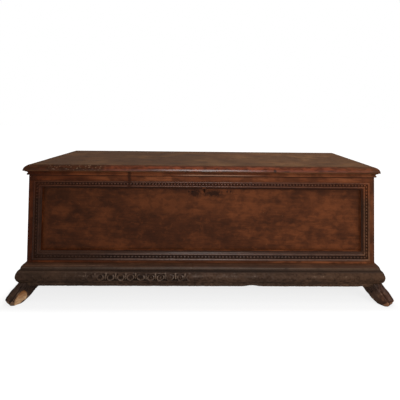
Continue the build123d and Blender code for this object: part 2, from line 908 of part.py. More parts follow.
def build():
    """Every node of the chest, by name."""
    seam = floor_of_case + case_height / 2
    nodes = {
        "front_top_rail": rail(opening_high, rim) - lock_nails(nail_hole(lock_nail_length)),
        "front_bottom_rail": rail(floor_of_case, opening_low) - bottom_nails(nail_hole(bottom_nail_length)),
        "front_left_stile": stile(-1),
        "front_right_stile": stile(1),
        "frame_pegs": frame_pegs(),
        "front_panel": front_panel(),
        "left_end_board": end_board(-1) - bottom_nails(nail_hole(bottom_nail_length)),
        "right_end_board": end_board(1) - bottom_nails(nail_hole(bottom_nail_length)),
        "back_lower_board": back_board(floor_of_case, seam) - bottom_nails(nail_hole(bottom_nail_length)),
        "back_upper_board": back_board(seam, rim) - back_loop_holes(),
        "bottom_nails": bottom_nails(nail(bottom_nail_length)),
        "plinth_moulding_front": plinth_front(),
        "plinth_moulding_right": plinth_right(),
        "plinth_moulding_left": mirror(plinth_right(), about=Plane.YZ),
        "lid_board": lid_board(),
        "lid_lip_front": lip_front(),
        "lid_lip_right": lip_right(),
        "lid_lip_left": mirror(lip_right(), about=Plane.YZ),
        "lid_cleat_left": lid_cleat(-1),
        "lid_cleat_right": lid_cleat(1),
        "cleat_nails": cleat_nails(nail(cleat_nail_length)),
        "lid_staple": lid_staple(),
        "hinge_loops_back": hinge_loops_back(),
        "hinge_loops_lid": hinge_loops_lid(),
        "lock_plate": lock_plate(),
        "lock_case": lock_case(),
        "lock_bolt": lock_bolt(),
        "lock_spring": lock_spring(),
        "lock_key_pin": lock_key_pin(),
        "lock_nails": lock_nails(nail(lock_nail_length)),
    }
    nodes.update(panel_mouldings())
    for index, name in enumerate(("bottom_board_front", "bottom_board_middle", "bottom_board_back")):
        nodes[name] = bottom_plank(index)
    corner_paw = paw(True)
    end_paw = paw(False)
    for name, place in foot_places().items():
        nodes[name] = place * (corner_paw if "front" in name else end_paw)
    return nodes


def write(nodes):
    os.makedirs("parts", exist_ok=True)
    for name, shape in nodes.items():
        solids = shape if isinstance(shape, list) else [shape]
        loose = [solid for piece in solids for solid in piece.solids()]
        export_step(Compound(children=loose) if len(loose) > 1 else loose[0], f"parts/{name}.step")


write(build())
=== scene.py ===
import functools
import json
import math

import bmesh
import bpy
import numpy as np
from mathutils import Matrix, Vector, noise


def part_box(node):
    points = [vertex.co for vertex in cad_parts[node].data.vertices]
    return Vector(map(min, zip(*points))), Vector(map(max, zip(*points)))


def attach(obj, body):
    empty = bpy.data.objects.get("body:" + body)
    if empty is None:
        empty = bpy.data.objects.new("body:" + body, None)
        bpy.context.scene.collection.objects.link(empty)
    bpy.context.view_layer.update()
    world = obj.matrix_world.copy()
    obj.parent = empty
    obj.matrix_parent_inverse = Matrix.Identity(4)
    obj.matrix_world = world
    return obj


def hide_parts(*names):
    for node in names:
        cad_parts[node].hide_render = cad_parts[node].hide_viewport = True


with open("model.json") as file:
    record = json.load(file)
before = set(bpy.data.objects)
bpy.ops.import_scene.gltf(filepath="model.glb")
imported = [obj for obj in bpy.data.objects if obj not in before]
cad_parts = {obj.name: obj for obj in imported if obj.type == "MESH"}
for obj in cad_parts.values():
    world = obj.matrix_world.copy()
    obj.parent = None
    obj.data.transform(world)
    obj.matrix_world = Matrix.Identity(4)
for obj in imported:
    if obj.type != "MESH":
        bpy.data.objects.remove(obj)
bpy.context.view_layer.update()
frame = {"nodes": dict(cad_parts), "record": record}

bl_info = {
    "name": "Walnut Cassone",
    "version": (1, 0, 0),
    "blender": (4, 5, 0),
    "location": "3D View > Sidebar > Cassone",
    "description": "Dresses a joined chest in carved, beaded and worn walnut, and sets it on a plain stage",
    "category": "Object",
}

MM = 0.001


def mm(*values):
    """Millimetres as metres."""
    return tuple(value * MM for value in values)


# Places read from the frame
FACE_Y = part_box("front_left_stile")[0].y
HALF_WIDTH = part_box("front_right_stile")[1].x
BACK_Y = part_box("back_upper_board")[1].y
PANEL_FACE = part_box("front_panel")[0].y
KEY_PIN = (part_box("lock_key_pin")[0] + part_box("lock_key_pin")[1]) / 2
LID_LOW, LID_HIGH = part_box("lid_board")
LIP_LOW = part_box("lid_lip_front")[0].z
PLINTH_LOW, PLINTH_HIGH = (corner.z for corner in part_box("plinth_moulding_front"))
MOULDING_REACH, MOULDING_BACK, MOULDING_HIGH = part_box("panel_moulding_top")[1]
MOULDING_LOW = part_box("panel_moulding_bottom")[0].z
MOULDING_TOP_WIDTH = MOULDING_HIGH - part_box("panel_moulding_top")[0].z
MOULDING_BOTTOM_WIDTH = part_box("panel_moulding_bottom")[1].z - MOULDING_LOW
MOULDING_SIDE_WIDTH = MOULDING_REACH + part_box("panel_moulding_left")[1].x

# Where an old repair crosses the top rail and its moulding
SEAM_X = -0.342


# ---- Settings


def length(name, description, millimetres):
    """A size that a user may change."""
    about = {"name": name, "description": description, "unit": "LENGTH", "subtype": "DISTANCE"}
    return bpy.props.FloatProperty(default=millimetres * MM, min=0.0, precision=4, **about)


def tint(name, description, screen):
    """A colour that a user may change, given as screen values."""
    about = {"name": name, "description": description, "subtype": "COLOR"}
    return bpy.props.FloatVectorProperty(default=linear(*screen), min=0.0, max=1.0, **about)


def linear(red, green, blue):
    """Screen values from 0 to 255 as the linear light that shaders work in."""
    shares = [value / 255 for value in (red, green, blue)]
    return tuple(v / 12.92 if v <= 0.04045 else ((v + 0.055) / 1.055) ** 2.4 for v in shares)


class CassoneSizes(bpy.types.PropertyGroup):
    """Sizes of the carving, the beads and the wear."""

    bead_pitch_top: length("Top bead pitch", "From bead to bead along the top moulding", 15)
    bead_pitch_bottom: length("Bottom bead pitch", "From bead to bead along the bottom moulding", 16.5)
    bead_pitch_side: length("Side bead pitch", "From bead to bead up the sides", 15.5)
    bead_length: length("Bead length", "Length of a bead along its row", 12)
    bead_width: length("Bead width", "Width of a bead across its row", 10)
    bead_rise: length("Bead rise", "How far a bead stands above the frame", 2.5)
    leaf_pitch: length("Leaf pitch", "From leaf to leaf along the plinth", 46.4)
    leaf_depth: length("Leaf depth", "Depth of the plinth's carving", 5.0)
    scale_pitch: length("Scale pitch", "From scale to scale along the plinth's lower band", 13)
    scale_depth: length("Scale depth", "Depth of the lower band's carving", 1.6)
    lid_wear: length("Lid wear", "How far the lid's front edge is worn back", 4.0)
    lid_swell: length("Lid swell", "How far the lid's plank has moved out of flat", 0.7)
    toe_groove: length("Toe groove", "Depth of the grooves between the toes", 5.0)
    hair_depth: length("Hair depth", "Depth of the hair lines on the feet", 1.6)
    carving_grid: length("Carving grid", "Mesh size of the carved lengths", 2.4)
    paw_grid: length("Paw grid", "Mesh size of the feet", 2.4)


# The shades of each wood as screen values, in the order of SHADES
SHADES = {"dark": "Dark figure and hollows", "mid": "Ground colour", "light": "Worn patches and crests"}
WOODS = {
    "panel": ("the front panel", (50, 25, 12), (76, 39, 19), (100, 53, 27)),
    "frame": ("the front frame", (54, 27, 13), (96, 50, 27), (126, 71, 41)),
    "moulding": ("the beaded moulding", (34, 20, 14), (62, 38, 26), (86, 59, 45)),
    "lid": ("the lid", (55, 34, 18), (78, 51, 30), (97, 67, 42)),
    "plinth": ("the plinth", (28, 19, 14), (62, 45, 34), (104, 86, 72)),
    "foot": ("the feet", (22, 14, 11), (60, 42, 32), (124, 94, 70)),
    "inner": ("the bare inside boards", (62, 42, 28), (112, 80, 54), (150, 114, 80)),
}


def wood_tints():
    """A setting for each shade of each wood, such as panel_dark."""
    return {
        f"{wood}_{shade}": tint(f"{wood.title()}, {shade}", f"{meaning} of {where}", screen)
        for wood, (where, *screens) in WOODS.items()
        for (shade, meaning), screen in zip(SHADES.items(), screens)
    }


class CassoneColours(bpy.types.PropertyGroup):
    """Colours of the walnut, the ironwork and the floor."""

    lid_edge: tint("Lid edge", "Rubbed edge of the lid", (96, 47, 28))
    fresh_wood: tint("Fresh wood", "Bare wood where a toe has broken away", (184, 148, 112))
    iron_dark: tint("Iron, dark", "Forged skin of the ironwork", (28, 25, 24))
    iron_rust: tint("Iron, rust", "Rust on the ironwork", (86, 46, 26))
    floor: tint("Floor", "The floor and backdrop", (196, 196, 196))
    __annotations__.update(wood_tints())


def shades(colours, wood):
    """The dark, the middle and the light shade of a wood."""
    return [tuple(getattr(colours, f"{wood}_{shade}")) for shade in SHADES]


# ---- Shaders


def arithmetic(operation, reflected=False):
    """A method that adds a Math node. A reflected one takes its two values the other way round."""

    def method(value, other):
        return value.maths(operation, *((other, value) if reflected else (value, other)))

    return method


class Value:
    """A shader socket on which plain arithmetic adds Math nodes."""

    def __init__(self, finish, socket):
        self.finish = finish
        self.socket = socket

    def maths(self, operation, first, second=0.0):
        return self.finish.node("ShaderNodeMath", {0: first, 1: second}, operation=operation)

    __add__ = __radd__ = arithmetic("ADD")
    __sub__ = arithmetic("SUBTRACT")
    __rsub__ = arithmetic("SUBTRACT", reflected=True)
    __mul__ = __rmul__ = arithmetic("MULTIPLY")
    larger = arithmetic("MAXIMUM")

    def size(self):
        return self.maths("ABSOLUTE", self)

    def between(self, low, high):
        """0 up to low, 1 from high, and smooth between them. With high under low it falls instead."""
        rising = low < high
        sockets = {0: self, 1: min(low, high), 2: max(low, high), 3: 1.0 - rising, 4: float(rising)}
        return self.finish.node("ShaderNodeMapRange", sockets, interpolation_type="SMOOTHSTEP")


class Finish:
    """A material or a world, made node by node. Its colour is laid in coats."""

    def __init__(self, name, makers=None):
        self.material = (bpy.data.materials if makers is None else makers).new(name)
        self.material.use_nodes = True
        self.tree = self.material.node_tree
        self.tree.nodes.clear()

    def node(self, kind, sockets=None, output=0, **settings):
        """Adds a node: its settings first, then its sockets' values or links."""
        made = self.tree.nodes.new(kind)
        for name, setting in settings.items():
            setattr(made, name, setting)
        for name, given in (sockets or {}).items():
            if isinstance(given, Value):
                self.tree.links.new(given.socket, made.inputs[name])
            elif hasattr(given, "__len__") and len(given) == 3 and made.inputs[name].type == "RGBA":
                made.inputs[name].default_value = (*given, 1.0)
            else:
                made.inputs[name].default_value = given
        return Value(self, made.outputs[output]) if made.outputs else None

    @functools.cached_property
    def place(self):
        """The piece's own coordinates, in metres."""
        return self.node("ShaderNodeTexCoord", output="Object")

    def blend(self, factor, first, second, kind="MIX"):
        """Two colours blended by a factor."""
        sockets = {0: factor, 6: first, 7: second}
        return self.node("ShaderNodeMix", sockets, 2, data_type="RGBA", blend_type=kind, clamp_factor=True)

    def lay(self, share, tone):
        """Lays a coat of a tone over the colour, as far as its share says."""
        self.colour = self.blend(share, self.colour, tone)

    def shade(self, axis, full, none, tone):
        """Multiplies the colour by a tone: fully at one place along an axis, not at all at another."""
        toned = self.blend(1.0, self.colour, tone, "MULTIPLY")
        self.colour = self.blend(self.along(axis).between(full, none), toned, self.colour)

    def stretched(self, scale, shift):
        """The piece's own coordinates, shifted, and scaled by three numbers or one."""
        scales = (scale,) * 3 if isinstance(scale, float) else scale
        return self.node("ShaderNodeMapping", {0: self.place, 1: shift, 3: scales})

    def noise(self, scale, shift=(0.0, 0.0, 0.0), detail=3.0, distortion=0.0):
        """Cloudy noise from 0 to 1, drawn out by its scale along each axis."""
        sockets = {"Vector": self.stretched(scale, shift), "Scale": 1.0, "Detail": detail}
        return self.node("ShaderNodeTexNoise", {**sockets, "Distortion": distortion})

    def along(self, axis):
        """How far along X, Y or Z a point is, in metres."""
        return self.node("ShaderNodeSeparateXYZ", {0: self.place}, axis)

    def carved(self, name):
        """A value that the maker of a piece left on its mesh."""
        return self.node("ShaderNodeAttribute", output="Fac", attribute_name=name)

    def spot(self, centre, radii, ragged=0.35, grain=140.0):
        """1 at the centre of a ragged spot and 0 outside it."""
        shift = tuple(-c / r for c, r in zip(centre, radii))
        near = self.stretched(tuple(1 / r for r in radii), shift)
        away = self.node("ShaderNodeVectorMath", {0: near}, "Value", operation="LENGTH")
        edge = self.noise(grain, detail=2.0)
        return (away + (edge - 0.5) * (4 * ragged)).between(1.25, 0.4)

    def polish(self):
        """How much shine is left: most in the middle of the front, where hands have rubbed it."""
        return self.along("X").size().between(0.75, 0.15) * 0.85 + 0.15

    def done(self, roughness, depth=0.5 * MM, metallic=0.0, gloss=0.08, wax=0.0):
        """Joins the surface to its shader and returns the material. Wax is a thin shine over it."""
        relief = {"Strength": 0.6, "Distance": depth, "Height": self.relief}
        sockets = {"Base Color": self.colour, "Roughness": roughness, "Metallic": metallic}
        sockets |= {"Normal": self.node("ShaderNodeBump", relief), "Specular IOR Level": gloss}
        sockets |= {"Coat Weight": wax, "Coat Roughness": 0.22, "Coat IOR": 1.5}
        surface = self.node("ShaderNodeBsdfPrincipled", sockets)
        self.node("ShaderNodeOutputMaterial", {"Surface": surface})
        return self.material


# How finely the figure and the fibres are drawn, by the axis of the grain
ACROSS = {"X": (7.0, 75.0, 75.0), "Z": (75.0, 75.0, 7.0), "Y": (75.0, 7.0, 75.0)}
FIBRES = {"X": (22.0, 420.0, 420.0), "Z": (420.0, 420.0, 22.0), "Y": (420.0, 22.0, 420.0)}


def scaled(colour, factor):
    return tuple(channel * factor for channel in colour)


def planed(name, wood, grain, seed, blotches=0.55):
    """A finish with the colour, the clouds and the relief of planed wood."""
    dark, mid, light = wood
    finish = Finish(name)
    shift = (seed * 3.7, seed * 1.9, seed * 2.3)
    figure = finish.noise(ACROSS[grain], shift, 5.0, 0.8)
    fibres = finish.noise(FIBRES[grain], shift, 2.0)
    finish.clouds = finish.noise((5.5, 5.5, 8.0), shift, 4.0, 0.4)
    blots = finish.noise((17.0, 22.0, 26.0), shift, 5.0, 0.3)
    finish.colour = finish.blend(finish.clouds.between(0.40, 0.68), mid, light)
    finish.lay(figure.between(0.56, 0.36) * 0.38, dark)
    finish.lay(blots.between(0.55, 0.34) * blotches, dark)
    finish.lay(fibres.between(0.5, 0.74) * 0.35, scaled(dark, 0.6))
    finish.relief = figure * 0.5 + fibres * 0.5
    return finish


# Marks on the front panel, in millimetres: place from its middle, height, reach along and up, and strength
PANEL_MARKS = {
    "light": (
        (-683, 404, 52, 34, 0.65),
        (-758, 351, 16, 110, 0.35),
        (-467, 381, 60, 40, 0.35),
        (-454, 243, 80, 22, 0.45),
        (-169, 445, 210, 60, 0.55),
        (157, 424, 170, 55, 0.40),
        (597, 441, 150, 60, 0.35),
        (622, 243, 120, 22, 0.40),
    ),
    "dark": (
        (-699, 480, 80, 28, 0.35),
        (-593, 428, 50, 38, 0.20),
        (-254, 315, 200, 60, 0.18),
        (22, 317, 70, 80, 0.25),
        (401, 362, 50, 24, 0.30),
        (519, 286, 18, 34, 0.40),
        (685, 311, 34, 40, 0.45),
    ),
}

# Stains, painted shade in the arch over the keyhole, and old nail holes round the keyhole: place from the
# key's pin and reach in millimetres, how ragged and how strong they are, and their share of the panel's
# dark shade
KEYHOLE_MARKS = (
    (-44, -15, 30, 17, 0.35, 0.85, 0.3),
    (44, -16, 44, 17, 0.35, 0.85, 0.3),
    # painted shade in the arch over the keyhole
    (0, 5, 15, 13, 0.1, 0.6, 0.4),
    *((x, -7, 5, 5, 0.35, 0.8, 0.25) for x in (-75, -58, 112, 128)),
)


def panel_finish(colours):
    """The front panel: warm and mottled, stained round the keyhole."""
    dark, mid, light = shades(colours, "panel")
    finish = planed("panel_walnut", (dark, mid, light), "X", 2.6)
    tones = {"light": scaled(light, 1.15), "dark": scaled(dark, 0.9)}
    for tone, marks in PANEL_MARKS.items():
        for x, z, reach_x, reach_z, strength in marks:
            reach = mm(reach_x, 300, reach_z)
            mark = finish.spot((x * MM, PANEL_FACE, z * MM), reach, 0.45, (13.0, 13.0, 34.0))
            finish.lay(mark * strength, tones[tone])
    mottle = finish.noise((34.0, 34.0, 42.0), (6.0, 0.0, 3.0), 3.0, 0.6)
    finish.lay(mottle.between(0.52, 0.36) * 0.35, dark)
    finish.lay(mottle.between(0.56, 0.70) * 0.35, tones["light"])
    # painted shade: the panel is darker toward the left
    finish.shade("X", -0.95, 0.55, (0.66, 0.64, 0.60))
    for x, z, reach_x, reach_z, ragged, strength, share in KEYHOLE_MARKS:
        centre = (KEY_PIN.x + x * MM, PANEL_FACE, KEY_PIN.z + z * MM)
        mark = finish.spot(centre, mm(reach_x, 60, reach_z), ragged)
        finish.lay(mark * strength, scaled(dark, share))
    flecks = finish.noise(110.0, (4.0, 0.0, 9.0), 2.0).between(0.73, 0.77)
    finish.lay(flecks * 0.3, linear(150, 110, 70))
    return finish.done(finish.clouds * 0.2 + 0.4)


def frame_finish(colours, name, grain, seed):
    """Rails and stiles of the front frame, darker toward the left as painted shade."""
    dark, mid, light = shades(colours, "frame")
    finish = planed(name, (dark, mid, light), grain, seed)
    # painted shade toward the left; the two stiles are darker still
    finish.shade("X", -0.85, 0.0, (0.52, 0.40, 0.27))
    finish.shade("X", -0.82, -0.76, (0.70, 0.66, 0.62))
    finish.shade("X", 0.83, 0.78, (0.74, 0.80, 0.78))
    across, height = finish.along("X"), finish.along("Z")
    low = height.between(0.20, 0.18) * across.size().between(0.6, 0.2)
    finish.lay(low * 0.6, dark)
    # the painted shadow line under the lid's lip, and a painted highlight on the lip's arris above it
    painted_lip_shadow = (height - (LIP_LOW - 2 * MM)).size().between(4 * MM, 1.5 * MM)
    finish.lay(painted_lip_shadow * 0.7, scaled(dark, 0.35))
    arris = (height - (LIP_LOW + 4 * MM)).size().between(3.5 * MM, 1.5 * MM)
    arris = arris * across.between(-0.16, -0.04) * across.between(0.34, 0.12)
    finish.lay(arris * 0.6, linear(150, 116, 94))
    # the old repair
    seam = across + finish.noise((30.0, 30.0, 60.0), (seed, 0.0, 0.0)) * 0.02
    seam = (seam - SEAM_X).size().between(11 * MM, 3 * MM) * height.between(0.4, 0.45)
    finish.lay(seam * 0.75, scaled(dark, 0.4))
    return finish.done(finish.clouds * 0.2 + 0.4)


def carved_finish(name, wood, seed, grain="X", fresh=None, wax=0.6, tones=(), left_rub=0.4):
    """Carved wood: dark in its hollows and rubbed light on its crests, as the piece's own mesh says. The
    mesh's values also carry painted highlights and painted shade.
    """
    dark, mid, light = wood
    finish = planed(name, (scaled(mid, 0.6), mid, scaled(mid, 1.35)), grain, seed)
    depth = finish.carved("depth")
    rub = finish.noise(60.0, (seed, 0.0, 0.0), 3.0)
    finish.lay(depth.between(0.5, 0.02) * 0.9, dark)
    # painted shade toward the left: the crests are lightened less there
    rubbed = finish.along("X").between(-0.85, -0.25) * (0.85 - left_rub) + left_rub
    finish.lay(depth.between(0.60, 0.95) * rub.between(0.25, 0.55) * rubbed, light)
    # painted shade toward the left, then the piece's own tones
    for tone in (("X", -0.95, 0.45, (0.72, 0.72, 0.72)), *tones):
        finish.shade(*tone)
    if fresh is not None:
        grain_lines = finish.noise((60.0, 60.0, 200.0), (seed, 1.0, 0.0), 3.0)
        heart = finish.noise(25.0, (seed, 5.0, 2.0), 2.0) * 0.6 + finish.along("Z") * 9.0
        bare = finish.blend(heart.between(0.42, 0.78), fresh, linear(130, 84, 46))
        bare = finish.blend(grain_lines.between(0.62, 0.4) * 0.5, bare, linear(120, 84, 52))
        finish.lay(finish.carved("fresh").between(0.35, 0.6), bare)
    high_up = finish.along("Z").between(0.45, 0.50)
    shine = depth.between(0.3, 0.8) * finish.polish() * (wax - high_up * wax * 0.35)
    finish.relief += rub * 0.6
    return finish.done(finish.clouds * 0.2 + 0.45, 0.8 * MM, wax=shine)


def lid_finish(colours):
    """The lid: browner on top, reddish and rubbed along its edge, pale where the edge has crumbled."""
    dark, mid, light = shades(colours, "lid")
    finish = planed("lid_walnut", (dark, mid, light), "X", 5.2)
    across, height = finish.along("X"), finish.along("Z")
    streaks = finish.noise((2.2, 30.0, 30.0), (1.0, 7.0, 0.0), 3.0, 0.5).between(0.52, 0.68)
    finish.lay(streaks * 0.3, linear(96, 56, 36))
    # painted shade: the lid is darker toward the left
    finish.shade("X", -0.3, 0.6, (0.74, 0.74, 0.74))
    on_edge = finish.carved("edge").between(0.15, 0.55)
    mottle = finish.noise((26.0, 60.0, 60.0), (3.0, 1.0, 6.0), 4.0, 0.5)
    rubbed = finish.blend(mottle.between(0.36, 0.62), scaled(colours.lid_edge, 0.45), colours.lid_edge)
    worn = finish.noise((14.0, 50.0, 50.0), (0.0, 2.0, 8.0), 4.0, 0.3).between(0.54, 0.66)
    finish.lay(on_edge, finish.blend(worn * 0.6, rubbed, scaled(colours.lid_edge, 1.5)))
    ledge = height + finish.noise(40.0, (8.0, 0.0, 1.0), 3.0) * 0.008
    arris = (ledge - (LID_HIGH.z + 1.5 * MM)).size().between(5 * MM, 1 * MM)
    finish.lay(on_edge * arris * 0.55, scaled(dark, 0.6))
    crumbled = finish.carved("wear").between(0.2, 0.7)
    flecks = finish.noise(130.0, (0.0, 3.0, 0.0), 3.0).between(0.57, 0.66)
    finish.lay(crumbled * 0.7, scaled(dark, 0.5))
    finish.lay(crumbled * flecks * 0.5, linear(136, 108, 84))
    finish.lay(across.between(-0.66, -0.80) * on_edge * 0.75, scaled(dark, 0.6))
    finish.lay(across.between(0.60, 0.82) * on_edge * 0.45, mid)
    # painted shade: a dark notch in the edge, which is not cut into the mesh
    painted_notch_shade = finish.spot((0.343, LID_LOW.y, LID_LOW.z + 9 * MM), mm(9, 60, 9), 0.2)
    finish.lay(painted_notch_shade * 0.85, scaled(dark, 0.25))
    nose = height.between(LID_LOW.z + 15 * MM, LID_LOW.z + 10 * MM) * on_edge
    return finish.done(finish.clouds * 0.2 + 0.6, gloss=0.05, wax=nose * finish.polish())


def bare_finish(colours):
    """Bare, dusty boards inside, behind and under the chest."""
    finish = planed("bare_board", shades(colours, "inner"), "X", 7.1, 0.2)
    return finish.done(finish.clouds * 0.15 + 0.62, 0.8 * MM)


def end_finish(colours):
    """The end boards: waxed like the front but darker, with the grain running to the back."""
    finish = planed("end_walnut", shades(colours, "frame"), "Y", 3.3)
    return finish.done(finish.clouds * 0.2 + 0.4)


def iron_finish(colours):
    """Forged iron, dark skinned and rusted in patches."""
    finish = Finish("forged_iron")
    rust = finish.noise(160.0, (1.0, 2.0, 3.0), 4.0)
    hammer = finish.noise(90.0, (5.0, 1.0, 2.0), 2.0)
    patch = rust.between(0.48, 0.66)
    finish.colour = finish.blend(patch * 0.8, colours.iron_dark, colours.iron_rust)
    finish.relief = hammer + rust * 0.3
    return finish.done(patch * 0.25 + 0.5, 0.6 * MM, 0.85 - patch * 0.7, 0.4)


# ---- Modelling


def select_only(*pieces):
    """Selects pieces and nothing else. The first one is active."""
    bpy.ops.object.select_all(action="DESELECT")
    for piece in pieces:
        piece.select_set(True)
    bpy.context.view_layer.objects.active = pieces[0]


def start_piece(name, add, **settings):
    """Adds a primitive, which is then the only thing selected, and names it."""
    add(**settings)
    piece = bpy.context.object
    piece.name = piece.data.name = name
    return piece


def edit():
    """Opens the active piece with all of its points selected."""
    bpy.ops.object.mode_set(mode="EDIT")
    bpy.ops.mesh.select_mode(type="VERT")
    bpy.ops.mesh.select_all(action="SELECT")


def leave():
    bpy.ops.object.mode_set(mode="OBJECT")


def resize_and_move(factors, way):
    """Sizes what is selected about the origin and then moves it."""
    bpy.ops.transform.resize(value=factors, center_override=(0, 0, 0))
    bpy.ops.transform.translate(value=way)


def finish_modifier(piece, kind, **settings):
    """Adds a modifier and applies it."""
    modifier = piece.modifiers.new(kind.title(), kind)
    for name, setting in settings.items():
        setattr(modifier, name, setting)
    bpy.context.view_layer.objects.active = piece
    bpy.ops.object.modifier_apply(modifier=modifier.name)


def cut_away(piece, add, **settings):
    """Cuts the shape of a primitive from a piece."""
    cutter = start_piece("cutter", add, **settings)
    bpy.ops.object.transform_apply(location=True, rotation=True, scale=True)
    finish_modifier(piece, "BOOLEAN", operation="DIFFERENCE", object=cutter, solver="MANIFOLD")
    bpy.data.objects.remove(cutter)


def draw_loop(piece, points):
    """Draws a closed line in edit mode: a point is pulled from corner to corner, then back to the first."""
    bpy.ops.mesh.select_all(action="DESELECT")
    bpy.ops.mesh.primitive_plane_add(size=1 * MM, location=points[0])
    bpy.ops.mesh.merge(type="CENTER")
    for start, end in zip(points, points[1:]):
        bpy.ops.mesh.extrude_region_move(TRANSFORM_OT_translate={"value": end - start})
    mesh = bmesh.from_edit_mesh(piece.data)
    mesh.verts.ensure_lookup_table()
    mesh.verts[len(mesh.verts) - len(points)].select_set(True)
    bpy.ops.mesh.edge_face_add()


def length_between(name, first, last, cuts):
    """A moulded length: its section is drawn at both ends, and the ends are bridged and capped."""
    piece = start_piece(name, bpy.ops.mesh.primitive_plane_add, size=1 * MM)
    edit()
    bpy.ops.mesh.delete(type="VERT")
    draw_loop(piece, first)
    draw_loop(piece, last)
    bpy.ops.mesh.select_all(action="SELECT")
    bpy.ops.mesh.bridge_edge_loops(number_cuts=cuts, interpolation="LINEAR")
    bpy.ops.mesh.select_all(action="SELECT")
    bpy.ops.mesh.fill_holes(sides=0)
    bpy.ops.mesh.normals_make_consistent(inside=False)
    leave()
    return piece


def arc_points(start, end, rise, steps):
    """Points after start on the arc to end that stands off its chord by rise, to the left of the way."""
    start, end = Vector(start), Vector(end)
    half = (end - start).length / 2
    radius = (half * half + rise * rise) / (2 * abs(rise))
    side = Vector((start.y - end.y, end.x - start.x)).normalized() * math.copysign(1.0, rise)
    centre = (start + end) / 2 + side * (abs(rise) - radius)
    first, last = (math.atan2(point.y - centre.y, point.x - centre.x) for point in (start, end))
    turn = (last - first + math.pi) % (2 * math.pi) - math.pi
    angles = [first + turn * step / steps for step in range(1, steps + 1)]
    return [(centre.x + radius * math.cos(a), centre.y + radius * math.sin(a)) for a in angles]


def evenly(points, spacing):
    """The same line with more points, so that none are further apart than spacing."""
    finer = [points[0]]
    for start, end in zip(points, points[1:]):
        steps = max(1, math.ceil((Vector(end) - Vector(start)).length / spacing))
        for step in range(1, steps + 1):
            finer.append(tuple(a + (b - a) * step / steps for a, b in zip(start, end)))
    return finer


def coordinates(piece, kind="co"):
    """The places of a mesh's points, or their normals with the kind "normal", one row each."""
    found = np.empty(len(piece.data.vertices) * 3)
    piece.data.vertices.foreach_get(kind, found)
    return found.reshape(-1, 3)


def sunk(piece, drop):
    """The places of a mesh's points, each moved in from the surface by its drop."""
    return coordinates(piece) - coordinates(piece, "normal") * drop[:, None]


def move_to(piece, places):
    piece.data.vertices.foreach_set("co", places.ravel())
    piece.data.update()


def leave_value(piece, name, values):
    """Leaves a value at each point of the mesh for the finish to read."""
    attribute = piece.data.attributes.new(name, "FLOAT", "POINT")
    attribute.data.foreach_set("value", np.asarray(values, np.float32))


def wander(places, scale, shift):
    """Smooth noise from -1 to 1 at each place, with features of about the scale in millimetres."""
    offset = Vector((shift, shift * 0.7, shift * 1.3))
    return np.array([noise.noise(Vector(place) / (scale * MM) + offset) for place in places])


def ramp(values, low, high):
    """0 up to low, 1 from high and smooth between, on an array. With high under low it falls."""
    share = np.clip((values - low) / (high - low), 0.0, 1.0)
    return share * share * (3 - 2 * share)


def bell(values, width):
    return np.exp(-((values / width) ** 2))


def dress(piece, angle, body, material, node):
    """Smooths a finished piece, and gives it its material and the place of a CAD node."""
    select_only(piece)
    bpy.ops.object.shade_smooth_by_angle(angle=math.radians(angle))
    piece.data.materials.clear()
    piece.data.materials.append(material)
    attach(piece, body)
    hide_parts(node)


def cover(nodes, material):
    """Gives CAD nodes a material."""
    for name in nodes:
        mesh = frame["nodes"][name].data
        mesh.materials.clear()
        mesh.materials.append(material)


# ---- The panel's beaded moulding


CHANNEL_DEPTH = 1.5 * MM
CHANNEL_MIDDLE = 14.75 * MM


def moulding_section():
    """Section of the moulding as (way in, height above the frame), from its outer edge inwards."""
    width = MOULDING_SIDE_WIDTH / MM
    rebate = (FACE_Y - MOULDING_BACK) / MM
    points = [(0, rebate), (0, 2.6)]
    points += arc_points(points[-1], (8.5, 2.6), 2.4, 6)
    points += [(9, -1.5), (20.5, -1.5), (21, 0)]
    points += arc_points(points[-1], (30.5, 0), 3.5, 8)
    points += [(31, -1), (width, -4.5), (width, rebate)]
    return [mm(*point) for point in evenly(points, 40)]


def moulding_depth(places):
    """How high the moulding's wood stands: hollows are low. The bottom length's inner slope, which faces
    up, is set high as painted light.
    """
    depth = np.clip((FACE_Y - places[:, 1] + CHANNEL_DEPTH) / (5.5 * MM), 0.0, 1.0)
    # painted light on the bottom length's upward inner slope
    up = places[:, 2] - (MOULDING_LOW + MOULDING_BOTTOM_WIDTH * 0.79)
    slope = ramp(up, 0.0, 2 * MM) * ramp(up, 16 * MM, 12 * MM)
    on_bottom = places[:, 2] < MOULDING_LOW + MOULDING_BOTTOM_WIDTH
    return np.where(on_bottom, np.maximum(depth, slope), np.minimum(depth, 0.74))


def worn_away(depth, places, left):
    """Evens out the moulding's depth toward the left, where dirt and wear have closed its hollows."""
    return depth + (0.45 - depth) * ramp(places[:, 0], *left) * 0.6


def moulding_corner(corner, section):
    """The section standing on a corner's mitre, stretched to the width of the top or bottom length."""
    x_side, z_side = corner
    edges = {1: (MOULDING_HIGH, -MOULDING_TOP_WIDTH), -1: (MOULDING_LOW, MOULDING_BOTTOM_WIDTH)}
    outer, width = edges[z_side]
    share = width / MOULDING_SIDE_WIDTH
    return [Vector((x_side * (MOULDING_REACH - t), FACE_Y - h, outer + share * t)) for t, h in section]


def bead_row(start, end, pitch, sizes):
    """A row of turned beads between two points of a channel, its ends clear of the mitres."""
    way = end - start
    count = int(way.length / pitch)
    step = way / count
    along = sizes.bead_length / 2
    across = sizes.bead_width / 2
    rise = sizes.bead_rise + CHANNEL_DEPTH
    upright = abs(way.z) > abs(way.x)
    half_size = (across, rise, along) if upright else (along, rise, across)
    bead = start_piece("bead", bpy.ops.mesh.primitive_uv_sphere_add, segments=10, ring_count=6, radius=1.0)
    edit()
    bpy.ops.transform.rotate(value=math.pi / 2, orient_axis="X", center_override=(0, 0, 0))
    resize_and_move(half_size, start + step / 2)
    leave()
    offset = {"use_relative_offset": False, "use_constant_offset": True, "constant_offset_displace": step}
    finish_modifier(bead, "ARRAY", count=count, **offset)
    return bead


